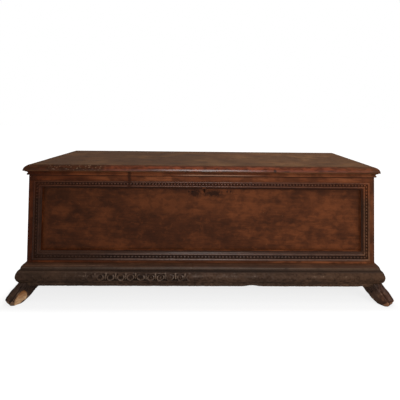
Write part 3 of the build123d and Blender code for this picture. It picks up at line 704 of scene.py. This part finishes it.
def make_mouldings(sizes, material):
    section = moulding_section()
    # the corners of each length, the pitch of its beads, and where it is worn away toward the left
    sides = {
        "top": ((-1, 1), (1, 1), sizes.bead_pitch_top, (-0.70, -0.76)),
        "bottom": ((1, -1), (-1, -1), sizes.bead_pitch_bottom, (-0.42, -0.52)),
        "right": ((1, 1), (1, -1), sizes.bead_pitch_side, (-1.0, -1.1)),
        "left": ((-1, -1), (-1, 1), sizes.bead_pitch_side, (-0.42, -0.52)),
    }
    for side, (*corners, pitch, left) in sides.items():
        first, last = (moulding_corner(corner, section) for corner in corners)
        cuts = int((last[0] - first[0]).length / (9 * MM))
        piece = length_between("beaded_moulding_" + side, first, last, cuts)
        if side == "top":
            cut_key_arch(piece)
        places = coordinates(piece)
        repair = bell(places[:, 0] - SEAM_X + 10 * MM, 5 * MM) if side == "top" else 0.0
        leave_value(piece, "depth", worn_away(moulding_depth(places), places, left) * (1 - repair))
        channel = [moulding_corner(corner, [(CHANNEL_MIDDLE, -CHANNEL_DEPTH)])[0] for corner in corners]
        row = bead_row(*channel, pitch, sizes)
        places = coordinates(row)
        depth = np.clip((FACE_Y - places[:, 1] + CHANNEL_DEPTH) / (4.0 * MM), 0.0, 1.0) * 0.85
        leave_value(row, "depth", worn_away(depth, places, left))
        select_only(piece, row)
        bpy.ops.object.join()
        move_to(piece, sunk(piece, wander(coordinates(piece), 60, 3.0) * -0.35 * MM))
        dress(piece, 35.0, "chest", material, "panel_moulding_" + side)


def cut_key_arch(piece):
    """Cuts the arch over the keyhole from the moulding's inner edge."""
    middle = (KEY_PIN.x, FACE_Y, MOULDING_HIGH - MOULDING_TOP_WIDTH - 2 * MM)
    size = {"vertices": 32, "radius": 10.5 * MM, "depth": 60 * MM, "rotation": (math.pi / 2, 0, 0)}
    cut_away(piece, bpy.ops.mesh.primitive_cylinder_add, location=middle, **size)


# ---- The carved plinth

# In millimetres along the front: where a leaf's middle is, and a chip in the lower edge
LEAF_START = -332
CHIP_X = 237

MOST_CUTS = 1000

# The band of leaves: its height on the plinth and its width
LEAF_LOW = 25
LEAF_WIDTH = 41


def plinth_section(spacing):
    """Section of the plinth as (way out, height), from its top edge down to its foot."""
    top = (PLINTH_HIGH - PLINTH_LOW) / MM
    points = [(0, top), (2, top)]
    points += arc_points(points[-1], (19, 80), 4, 6)
    points += [(19, 78)]
    points += arc_points(points[-1], (25, 71), -1.5, 4)
    points += [(27, 71)]
    points += arc_points(points[-1], (27, 20), 8, 12)
    points += [(22, 14), (22, 0), (0, 0)]
    return [(out * MM, PLINTH_LOW + up * MM) for out, up in evenly(points, spacing / MM)]


def leaf_relief(s, b, pitch, width):
    """Height from 0 to 1 of a border of round leaves and darts, at s along it and b across it."""
    x = (s - LEAF_START + pitch / 2) % pitch - pitch / 2
    # the leaf: a hoop that is fullest below, round a small lobe, with a rib on either side of it
    middle = width * 0.46
    reach = np.hypot(x * 0.92, b - middle)
    hoop = bell(reach - pitch * 0.30, 3.2) * (0.4 + 0.6 * ramp(b, width * 0.85, width * 0.5))
    lobe = bell(np.hypot(x, (b - middle) * 0.8), 4.6) * (0.25 + 0.65 * ramp(s, -280, -200))
    rib = bell(np.abs(x) - (b - width * 0.1) * 0.22 - 3, 1.9) * ramp(b, width * 0.5, width * 0.3) * 0.7
    # the dart between two leaves, tapering down
    dart = bell(pitch / 2 - np.abs(x), 2.0 + b * 0.06) * ramp(b, width * 0.12, width * 0.3)
    top = bell(b - width * 0.94, 2.2) * 0.75
    return np.maximum.reduce([hoop, lobe, rib, dart, top])


def scale_relief(s, b, pitch, width):
    """Height from 0 to 1 of a row of overlapping scales."""
    best = np.zeros_like(s)
    for row in range(3):
        x = (s + (row % 2) * pitch / 2) % pitch - pitch / 2
        middle = width * (0.22 + 0.3 * row)
        reach = np.hypot(x, b - middle) / (pitch * 0.5)
        lit = 0.55 + 0.45 * ramp(b - middle, pitch * 0.4, -pitch * 0.4)
        best = np.maximum(best, ramp(reach, 1.05, 0.7) * lit)
    return best


def plinth_wear(run, side):
    """How much of the carving is left along the plinth: crisp left of the middle, rubbed to the right."""
    if side != "front":
        return np.full_like(run, 0.6)
    return 0.2 + 0.8 * ramp(run, -580, -440) * ramp(run, -50, -100)


def carve_plinth(piece, side, sizes):
    """Carves the leaves and the scales into a plinth length, and leaves their depth on its mesh."""
    front = side == "front"
    places = coordinates(piece)
    x, y, z = places.T / MM
    height = z - PLINTH_LOW / MM
    run = x if front else y
    outside = ramp(FACE_Y / MM - y if front else np.abs(x) - HALF_WIDTH / MM, 3, 9)
    left = plinth_wear(run, side) * np.clip(0.9 + 1.1 * wander(places, 30, 2.0), 0.1, 1.3)
    uneven = run + wander(places, 26, 14.0) * 6
    across = height - LEAF_LOW + wander(places, 22, 15.0) * 2.5
    leaves = leaf_relief(uneven, across, sizes.leaf_pitch / MM, LEAF_WIDTH)
    leaf_high = LEAF_LOW + LEAF_WIDTH
    on_leaves = ramp(height, LEAF_LOW, LEAF_LOW + 3) * ramp(height, leaf_high, leaf_high - 2)
    scales = scale_relief(uneven, height - 1, sizes.scale_pitch / MM, 19)
    on_scales = ramp(height, 0.5, 3) * ramp(height, 21, 18)
    drop = (1 - leaves) * on_leaves * sizes.leaf_depth * left
    drop += (1 - scales) * on_scales * sizes.scale_depth * (0.3 + 0.5 * left)
    knocks = ramp(wander(places, 34, 9.0), 0.45, 0.75) * 1.6
    pitted = wander(places * (0.7, 1.0, 1.0), 9, 5.0) * ramp(height, 70, 62)
    moved = sunk(piece, (drop + (knocks - pitted * 0.8) * MM) * outside)
    if front:
        splintered = ramp(wander(places, 50, 17.0), 0.0, 0.6) * 0.5
        moved[:, 2] += (bell(run - CHIP_X, 28) * 5 + splintered) * ramp(height, 9, 1) * MM
    move_to(piece, moved)
    # what the finish sees as high and low: the carving and its grooves, painted highlights along the
    # arrises, and painted shade in the cove, under the torus and along the top
    # painted shade in the cove between the roll and the torus
    painted_cove_shade = bell(height - 72, 5) * (0.25 + 0.15 * bell(run, 350)) * outside
    # painted highlight along the torus's nose, where its carving is rubbed away
    nose = bell(height - 52, 3.5) * (1 - left) * ramp(wander(places, 70, 6.0), -0.1, 0.3)
    crest = 0.5 + (leaves - 0.46) * on_leaves * left * 1.2 + 0.32 * nose * outside
    # darker scale hollows, and painted shade under the torus's nose
    crest -= (1 - scales) * on_scales * 0.2 + 0.14 * ramp(height, 50, 38)
    # painted highlight along the roll
    crest += pitted * 0.25 + 0.35 * bell(height - 81, 2.5) * outside
    far_left = ramp(run, -350, -500)
    # painted shade above the torus's nose and a painted shadow line along the top, less at the far left,
    # where painted highlights lie along the arrises
    shaded_top = ramp(height, 55, 59) * ramp(height, 75, 70) * 0.12
    crest -= (shaded_top + 0.25 * bell(height - 91, 5)) * (1 - far_left) * (1 - left * on_leaves)
    crest += 0.30 * (bell(height - 67, 2.5) + bell(height - 90, 2.5)) * far_left
    leave_value(piece, "depth", np.clip(crest - painted_cove_shade, 0.0, 1.0))


def make_plinth(sizes, material):
    section = plinth_section(sizes.carving_grid)
    left, right = (
        [Vector((side * (HALF_WIDTH + out), FACE_Y - out, z)) for out, z in section] for side in (-1, 1)
    )
    lengths = {"front": (left, right)}
    for side, corner in (("left", left), ("right", right)):
        lengths[side] = (corner, [Vector((point.x, BACK_Y, point.z)) for point in corner])
    for side, (first, last) in lengths.items():
        cuts = int((last[0] - first[0]).length / sizes.carving_grid)
        piece = length_between("carved_plinth_" + side, first, last, min(cuts, MOST_CUTS))
        carve_plinth(piece, side, sizes)
        dress(piece, 50.0, "chest", material, "plinth_moulding_" + side)


# ---- The lid


def grow_rim(start, end, half, front):
    """Pulls the open rim of the lid from one (way out, fall) to the next. Its back edge stays in line."""
    bpy.ops.mesh.extrude_region_move(TRANSFORM_OT_translate={"value": (0, 0, start[1] - end[1])})
    factors = ((half + end[0]) / (half + start[0]), (front + end[0]) / (front + start[0]), 1.0)
    bpy.ops.transform.resize(value=factors, center_override=(0, LID_HIGH.y, 0))


def make_lid(sizes, material):
    setback = 22 * MM
    cell = 8 * MM
    half = LID_HIGH.x - setback
    front = LID_HIGH.y - (LID_LOW.y + setback)
    grid = {"x_subdivisions": int(2 * half / cell), "y_subdivisions": int(front / cell), "size": 2.0}
    piece = start_piece("worn_lid", bpy.ops.mesh.primitive_grid_add, **grid)
    edit()
    resize_and_move((half, front / 2, 1.0), (0, LID_HIGH.y - front / 2, LID_HIGH.z))
    bpy.ops.mesh.region_to_loop()
    profile = [(0, 0), (0, 1.5)]
    profile += arc_points(profile[-1], (20.5, 17.5), -4.4, 12)
    profile += [(21.2, 21), (22, 25.5), (21.6, 27.5), (19.5, (LID_HIGH.z - LID_LOW.z) / MM)]
    profile = [mm(*point) for point in profile]
    bpy.ops.mesh.select_mode(type="EDGE")
    for start, end in zip(profile, profile[1:]):
        grow_rim(start, end, half, front)
    half += profile[-1][0]
    front += profile[-1][0]
    bpy.ops.mesh.select_all(action="DESELECT")
    bpy.ops.mesh.primitive_grid_add(**grid)
    resize_and_move((half, front / 2, 1.0), (0, LID_HIGH.y - front / 2, LID_LOW.z))
    bpy.ops.mesh.select_all(action="SELECT")
    bpy.ops.mesh.remove_doubles(threshold=0.05 * MM)
    bpy.ops.mesh.normals_make_consistent(inside=False)
    leave()
    wear_lid(piece, sizes)
    cut_lid_grooves(piece)
    dress(piece, 35.0, "lid", material, "lid_board")


def wear_lid(piece, sizes):
    """Wears the lid: a slight swell on top, a rubbed edge, and a crumbled stretch at the front left."""
    places = coordinates(piece)
    x, y, z = places.T
    above = ramp(z, LID_LOW.z + 2 * MM, LID_LOW.z + 6 * MM)
    on_edge = ramp(np.minimum(LID_HIGH.x - np.abs(x), y - LID_LOW.y), 24 * MM, 15 * MM)
    swell = (wander(places * (0.4, 1.0, 1.0), 120, 1.0) - 1) * sizes.lid_swell
    swell *= ramp(z, LID_HIGH.z - 1 * MM, LID_HIGH.z) * (1 - on_edge)
    crumbled = ramp(x, -0.76, -0.72) * ramp(x, -0.44, -0.50)
    crumbled *= ramp(y, LID_LOW.y + 45 * MM, LID_LOW.y + 20 * MM)
    bites = ramp(wander(places, 16, 4.0) + 0.5 * wander(places, 7, 6.0), 0.02, 0.4)
    rubs = ramp(wander(places * (0.35, 1.0, 1.0), 40, 8.0), 0.05, 0.6)
    moved = sunk(piece, on_edge * above * (rubs * 0.35 + crumbled * bites) * sizes.lid_wear)
    moved[:, 2] += swell
    move_to(piece, moved)
    leave_value(piece, "edge", on_edge * above)
    leave_value(piece, "wear", crumbled * on_edge * above)


def cut_lid_grooves(piece):
    """Lets the turned ends of the hinge loops lie in grooves in the lid's top."""
    low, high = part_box("hinge_loops_lid")
    half_size = (2.2 * MM, (high.y - low.y) / 2 + 0.6 * MM, 4.3 * MM)
    for side in (-1, 1):
        middle = (side * (high.x - 2 * MM), (high.y + low.y) / 2, LID_HIGH.z)
        cut_away(piece, bpy.ops.mesh.primitive_cube_add, size=2.0, location=middle, scale=half_size)


# ---- The feet

FOOT_TURNS = {"front_left": -135.0, "front_right": -45.0, "back_left": 180.0, "back_right": 0.0}
HEEL = 60 * MM

# Each toe runs from its root down to its tip, as (out, aside, height) from the foot's corner
TOES = (
    (mm(14, -22, 62), mm(60, -24, 8)),
    (mm(36, -7, 72), mm(72, -8, 9)),
    (mm(36, 7, 72), mm(72, 8, 9)),
    (mm(14, 22, 62), mm(60, 24, 8)),
)

# Where the outer toe's break is, and the slope along which it runs down
BREAK = mm(34, 23, 27)
BREAK_SLOPE = (0.54, 0.84)


def foot_frame(name):
    """Where a foot's corner is and how it is turned."""
    turn = Matrix.Rotation(math.radians(FOOT_TURNS[name]), 4, "Z")
    if name.startswith("front"):
        side = -1 if name.endswith("left") else 1
        return Matrix.Translation((side * HALF_WIDTH, FACE_Y, 0)) @ turn
    low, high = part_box("foot_" + name)
    middle = (low.y + high.y) / 2
    corner = low.x + HEEL if name.endswith("right") else high.x - HEEL
    return Matrix.Translation((corner, middle, 0)) @ turn


def toe_reach(local, root, tip):
    """How far each place is from a toe's middle line, and how far along that line it is."""
    start = np.array(root)
    way = np.array(tip) - start
    share = (local - start) @ way / (way @ way)
    nearest = start + np.clip(share, 0.0, 1.0)[:, None] * way
    return np.linalg.norm(local - nearest, axis=1), share


def carve_paw(piece, place, sizes, broken):
    """Carves toes, knuckles, claws and hair into a paw, and leaves their depth on its mesh."""
    into = np.array(place.inverted())
    turn = into[:3, :3]
    local = coordinates(piece) @ turn.T + into[:3, 3]
    facing = coordinates(piece, "normal") @ turn.T
    u, v, w = local.T / MM
    rough = wander(local, 18, 2.0)
    away, shares = np.array([toe_reach(local, root, tip) for root, tip in TOES]).transpose(1, 0, 2)
    share = shares[np.argmin(away, axis=0), np.arange(len(u))]
    first, second = np.sort(away, axis=0)[:2]
    apart = (second - first) / MM
    above_sole = ramp(w, 0.5, 4)
    shown = ramp(facing[:, 2], -0.75, -0.35) * above_sole
    # grooves where two toes meet, and round the root of the outer toes
    groove = bell(apart - rough, 4.2)
    root_line = bell(share - 0.02 - 0.05 * rough, 0.05) * ramp(np.abs(v), 12, 20)
    cut = np.maximum(groove * ramp(share + 0.1 * rough, 0.02, 0.30), root_line * 0.35) * shown
    # knuckles, and the crease that sets off each claw
    knuckle = bell(share - 0.42, 0.16) * (1 - groove) * shown
    claw = bell(share - 0.86, 0.035) * shown * ramp(apart, 1, 5)
    # hair that runs down the leg in locks
    lock = (v * 0.9 + (w - 60) * 0.25 * np.sign(v)) / 4.6 + 1.1 * rough
    hair = 0.5 + 0.5 * np.sin(lock * math.pi + 0.8 * np.sin(w / 8))
    side_lock = (w + 0.9 * u) / 6.0 + 1.3 * rough
    strands = 0.5 + 0.5 * np.sin(side_lock * math.pi)
    sides = ramp(np.abs(facing[:, 1]), 0.5, 0.85) * above_sole * ramp(share, 0.2, -0.1)
    combed = hair * ramp(share, 0.25, -0.05) * above_sole * (1 - sides) + strands * sides
    drop = cut * sizes.toe_groove + combed * sizes.hair_depth * 1.4
    drop += (claw * 1.6 - knuckle * 1.8 + wander(local, 9, 7.0) * 0.5 * above_sole) * MM
    moved = sunk(piece, drop)
    # the tips are lifted off the floor
    moved[:, 2] += ramp(u, 50, 76) * ramp(w, 26, 4) * 4 * MM
    moved[:, 2] = np.maximum(moved[:, 2], 0.0)
    rubbed = ramp(wander(local, 22, 12.0), -0.1, 0.4)
    # the paw is darker near the sole: painted shade where it meets the floor
    depth = 0.58 - cut * 0.34 - combed * 0.42 - claw * 0.3 - ramp(w, 6, 1) * 0.4
    depth += ramp(u, 44, 66) * rubbed * 0.22 * (1 - groove) + 0.22 * wander(local, 13, 21.0)
    depth += knuckle * 0.28 * rubbed + ramp(share, 0.8, 1.0) * shown * 0.45 * (1 - groove)
    moved, fresh = break_toe(moved, place, local) if broken else (moved, np.zeros_like(u))
    leave_value(piece, "depth", np.clip(depth, 0.0, 1.0))
    leave_value(piece, "fresh", fresh)
    move_to(piece, moved)


def break_toe(places, place, local):
    """Splits an outer toe off along the grain, back to a plane, and tells where bare wood shows."""
    normal = Vector((0.22, 0.92, 0.30)).normalized()
    out = np.array(place.to_3x3() @ normal)
    start = np.array(place @ Vector(BREAK))
    splinter = wander(local * (0.4, 1.0, 0.4), 6, 11.0) * 0.9 * MM
    over = (places - start) @ out + splinter
    # the break is shaped like an almond that lies along the toe
    u, v, w = (local - (BREAK[0], 0.0, BREAK[2])).T / MM
    run, rise = BREAK_SLOPE
    across = u * rise + w * run
    half = np.where(across > 0, 15, 27)
    almond = np.hypot((u * run - w * rise) / 31, across / half) + 0.05 * wander(local, 10, 3.0)
    back = np.clip(over, 0.0, None) * ramp(almond, 1.08, 0.94) * ramp(v, 0, 6)
    return places - out * back[:, None], ramp(back, 0.3 * MM, 1.0 * MM)


def make_feet(sizes, material):
    for name in FOOT_TURNS:
        node = "foot_" + name
        piece = bpy.data.objects.new("paw_" + name, frame["nodes"][node].data.copy())
        bpy.context.scene.collection.objects.link(piece)
        select_only(piece)
        edit()
        bpy.ops.mesh.remove_doubles(threshold=0.02 * MM)
        leave()
        finish_modifier(piece, "REMESH", mode="VOXEL", voxel_size=sizes.paw_grid)
        finish_modifier(piece, "SMOOTH", factor=0.5, iterations=5)
        carve_paw(piece, foot_frame(name), sizes, name == "front_left")
        dress(piece, 60.0, "chest", material, node)


# ---- The stage


def make_floor(colours):
    floor = start_piece("floor", bpy.ops.mesh.primitive_plane_add, size=30.0)
    finish = Finish("floor")
    seen = finish.node("ShaderNodeLightPath", output="Is Camera Ray")
    # painted shadow: the floor glows less near the chest, so it reads grey there besides the chest's own
    # shadow, and white further away
    aside = finish.along("X").size().between(0.88, 1.02)
    behind = finish.along("Y").between(0.4, 0.8)
    before = finish.along("Y").between(-0.30, -0.40)
    away = aside.larger(behind).larger(before)
    glow = finish.blend(away, (0.80, 0.80, 0.80), (1.0, 1.0, 1.0))
    glow = finish.blend(seen, (0.0, 0.0, 0.0), glow)
    shade = finish.blend(seen, colours.floor, (0.16, 0.16, 0.16))
    sockets = {"Base Color": shade, "Roughness": 0.9, "Specular IOR Level": 0.0}
    sockets |= {"Emission Color": glow, "Emission Strength": 1.0}
    finish.node("ShaderNodeOutputMaterial", {"Surface": finish.node("ShaderNodeBsdfPrincipled", sockets)})
    floor.data.materials.append(finish.material)


def make_sky(level):
    """Plain light from all round, seen as white by the camera."""
    sky = Finish("studio", bpy.data.worlds)
    bpy.context.scene.world = sky.material
    seen = sky.node("ShaderNodeLightPath", output="Is Camera Ray")
    through = sky.node("ShaderNodeLightPath", output="Is Transmission Ray")
    glow = sky.blend(seen.larger(through), (level, level, level), (1.0, 1.0, 1.0))
    sky.node("ShaderNodeOutputWorld", {"Surface": sky.node("ShaderNodeBackground", {"Color": glow})})


def add_lamp(name, place, aim, size, power):
    """A soft rectangular lamp that looks at a point."""
    bpy.ops.object.light_add(type="AREA", location=place)
    lamp = bpy.context.object
    lamp.name = name
    lamp.data.shape = "RECTANGLE"
    lamp.data.size, lamp.data.size_y = size
    lamp.data.energy = power
    lamp.rotation_euler = (Vector(aim) - Vector(place)).to_track_quat("-Z", "Y").to_euler()


def add_camera():
    """Stands the camera a little right of the middle, looking along the chest's depth."""
    before_face = 1554.8 * MM
    above_lid = 261.6 * MM
    aside = 28.2 * MM
    yaw, pitch, roll = -0.0154, 0.0273, 0.0113
    focal_pixels, image_pixels = 321.0, 400.0
    centre_pixels = (214.76, 102.68)
    bpy.ops.object.camera_add()
    camera = bpy.context.object
    camera.matrix_world = (
        Matrix.Translation((aside, FACE_Y - before_face, LID_HIGH.z + above_lid))
        @ Matrix.Rotation(yaw, 4, "Z")
        @ Matrix.Rotation(math.pi / 2 + pitch, 4, "X")
        @ Matrix.Rotation(roll, 4, "Z")
    )
    camera.data.sensor_width = 36.0
    camera.data.lens = focal_pixels / image_pixels * camera.data.sensor_width
    camera.data.shift_x = 0.5 - centre_pixels[0] / image_pixels
    camera.data.shift_y = centre_pixels[1] / image_pixels - 0.5
    camera.data.clip_end = 100.0
    bpy.context.scene.camera = camera


# ---- Operators


class CassoneOperator:
    """What the chest's operators share."""

    bl_options = {"REGISTER", "UNDO"}

    def execute(self, context):
        self.make(context.scene.cassone_sizes, context.scene.cassone_colours)
        return {"FINISHED"}


class CASSONE_OT_boards(CassoneOperator, bpy.types.Operator):
    """Finish the boards of the case, the frame and the battens"""

    bl_idname = "cassone.boards"
    bl_label = "Finish Boards"

    def make(self, sizes, colours):
        cover(["front_panel"], panel_finish(colours))
        cover(["left_end_board", "right_end_board"], end_finish(colours))
        for nodes, *wood in (
            (["front_top_rail", "front_bottom_rail"], "rail_walnut", "X", 1.4),
            (["front_left_stile", "front_right_stile"], "stile_walnut", "Z", 4.4),
            (["frame_pegs"], "peg_walnut", "Y", 6.3),
            (["lid_lip_front", "lid_lip_left", "lid_lip_right"], "lip_walnut", "X", 9.4),
        ):
            cover(nodes, frame_finish(colours, *wood))
        bare = ["back_upper_board", "back_lower_board", "lid_cleat_left", "lid_cleat_right"]
        bare += ["bottom_board_front", "bottom_board_middle", "bottom_board_back"]
        cover(bare, bare_finish(colours))


class CASSONE_OT_lid(CassoneOperator, bpy.types.Operator):
    """Make the lid's worn plank"""

    bl_idname = "cassone.lid"
    bl_label = "Make Lid"

    def make(self, sizes, colours):
        make_lid(sizes, lid_finish(colours))


class CASSONE_OT_mouldings(CassoneOperator, bpy.types.Operator):
    """Make the beaded mouldings round the panel"""

    bl_idname = "cassone.mouldings"
    bl_label = "Make Beaded Mouldings"

    def make(self, sizes, colours):
        # painted light on the right length and painted shade on the left one; the top length lighter and
        # warmer
        tones = (
            ("Z", 0.50, 0.45, (1.40, 1.06, 0.82)),
            ("X", 0.80, 0.74, (1.60, 1.45, 1.10)),
            ("X", -0.80, -0.74, (0.90, 0.76, 0.66)),
        )
        wood = shades(colours, "moulding")
        make_mouldings(sizes, carved_finish("moulding_walnut", wood, 2.2, wax=0.9, tones=tones))


class CASSONE_OT_plinth(CassoneOperator, bpy.types.Operator):
    """Make the plinth with its carved leaves and scales"""

    bl_idname = "cassone.plinth"
    bl_label = "Make Carved Plinth"

    def make(self, sizes, colours):
        # painted light toward the right; then the top roll reddish like the rail, and tones for the torus
        # and the bottom edge
        tones = (
            ("X", 0.75, 0.25, (1.10, 1.04, 0.96)),
            ("Z", 0.160, 0.150, (1.30, 0.95, 0.72)),
            ("Z", 0.140, 0.147, (1.16, 1.09, 1.03)),
            ("Z", 0.086, 0.092, (1.03, 1.10, 1.15)),
        )
        wood = shades(colours, "plinth")
        make_plinth(sizes, carved_finish("plinth_walnut", wood, 8.5, tones=tones, left_rub=0.55))


class CASSONE_OT_feet(CassoneOperator, bpy.types.Operator):
    """Make the carved paw feet"""

    bl_idname = "cassone.feet"
    bl_label = "Make Paw Feet"

    def make(self, sizes, colours):
        tones = (("X", 0.84, 0.82, (1.16, 0.94, 0.84)),)
        looks = {"grain": "Z", "fresh": colours.fresh_wood, "tones": tones, "left_rub": 0.9}
        make_feet(sizes, carved_finish("foot_walnut", shades(colours, "foot"), 6.6, **looks))


class CASSONE_OT_ironwork(CassoneOperator, bpy.types.Operator):
    """Finish the hinges, the lock and the nails"""

    bl_idname = "cassone.ironwork"
    bl_label = "Finish Ironwork"

    def make(self, sizes, colours):
        parts = frame["record"]["subparts"]
        iron = [part["node"] for part in parts if part["material_slot"] == "wrought_iron"]
        cover(iron, iron_finish(colours))


class CASSONE_OT_stage(CassoneOperator, bpy.types.Operator):
    """Set the floor, the light and the camera"""

    bl_idname = "cassone.stage"
    bl_label = "Set Stage"

    def make(self, sizes, colours):
        bpy.context.scene.view_settings.view_transform = "Standard"
        make_floor(colours)
        make_sky(0.5)
        add_lamp("key", (-0.02, -2.1, 1.10), (0.0, FACE_Y, 0.6), (0.9, 0.7), 12.0)
        add_lamp("fill", (2.4, -2.2, 2.0), (0.2, FACE_Y, 0.3), (1.6, 1.4), 45.0)
        add_lamp("overhead", (0.3, 0.3, 2.7), (0.0, 0.0, 0.6), (2.6, 1.3), 50.0)
        add_camera()


class CASSONE_PT_panel(bpy.types.Panel):
    """Lists the chest's pieces and settings"""

    bl_idname = "CASSONE_PT_panel"
    bl_label = "Cassone"
    bl_space_type = "VIEW_3D"
    bl_region_type = "UI"
    bl_category = "Cassone"

    def draw(self, context):
        for operator in OPERATORS:
            self.layout.operator(operator.bl_idname)
        for group in (context.scene.cassone_sizes, context.scene.cassone_colours):
            box = self.layout.box()
            for name in group.__annotations__:
                box.prop(group, name)


OPERATORS = (
    CASSONE_OT_boards,
    CASSONE_OT_lid,
    CASSONE_OT_mouldings,
    CASSONE_OT_plinth,
    CASSONE_OT_feet,
    CASSONE_OT_ironwork,
    CASSONE_OT_stage,
)
CLASSES = (CassoneSizes, CassoneColours, *OPERATORS, CASSONE_PT_panel)


def register():
    for made in CLASSES:
        bpy.utils.register_class(made)
    bpy.types.Scene.cassone_sizes = bpy.props.PointerProperty(type=CassoneSizes)
    bpy.types.Scene.cassone_colours = bpy.props.PointerProperty(type=CassoneColours)


def unregister():
    del bpy.types.Scene.cassone_colours
    del bpy.types.Scene.cassone_sizes
    for made in reversed(CLASSES):
        bpy.utils.unregister_class(made)


def main():
    register()
    bpy.ops.cassone.boards()
    bpy.ops.cassone.lid()
    bpy.ops.cassone.mouldings()
    bpy.ops.cassone.plinth()
    bpy.ops.cassone.feet()
    bpy.ops.cassone.ironwork()
    bpy.ops.cassone.stage()


if __name__ == "__main__":
    main()
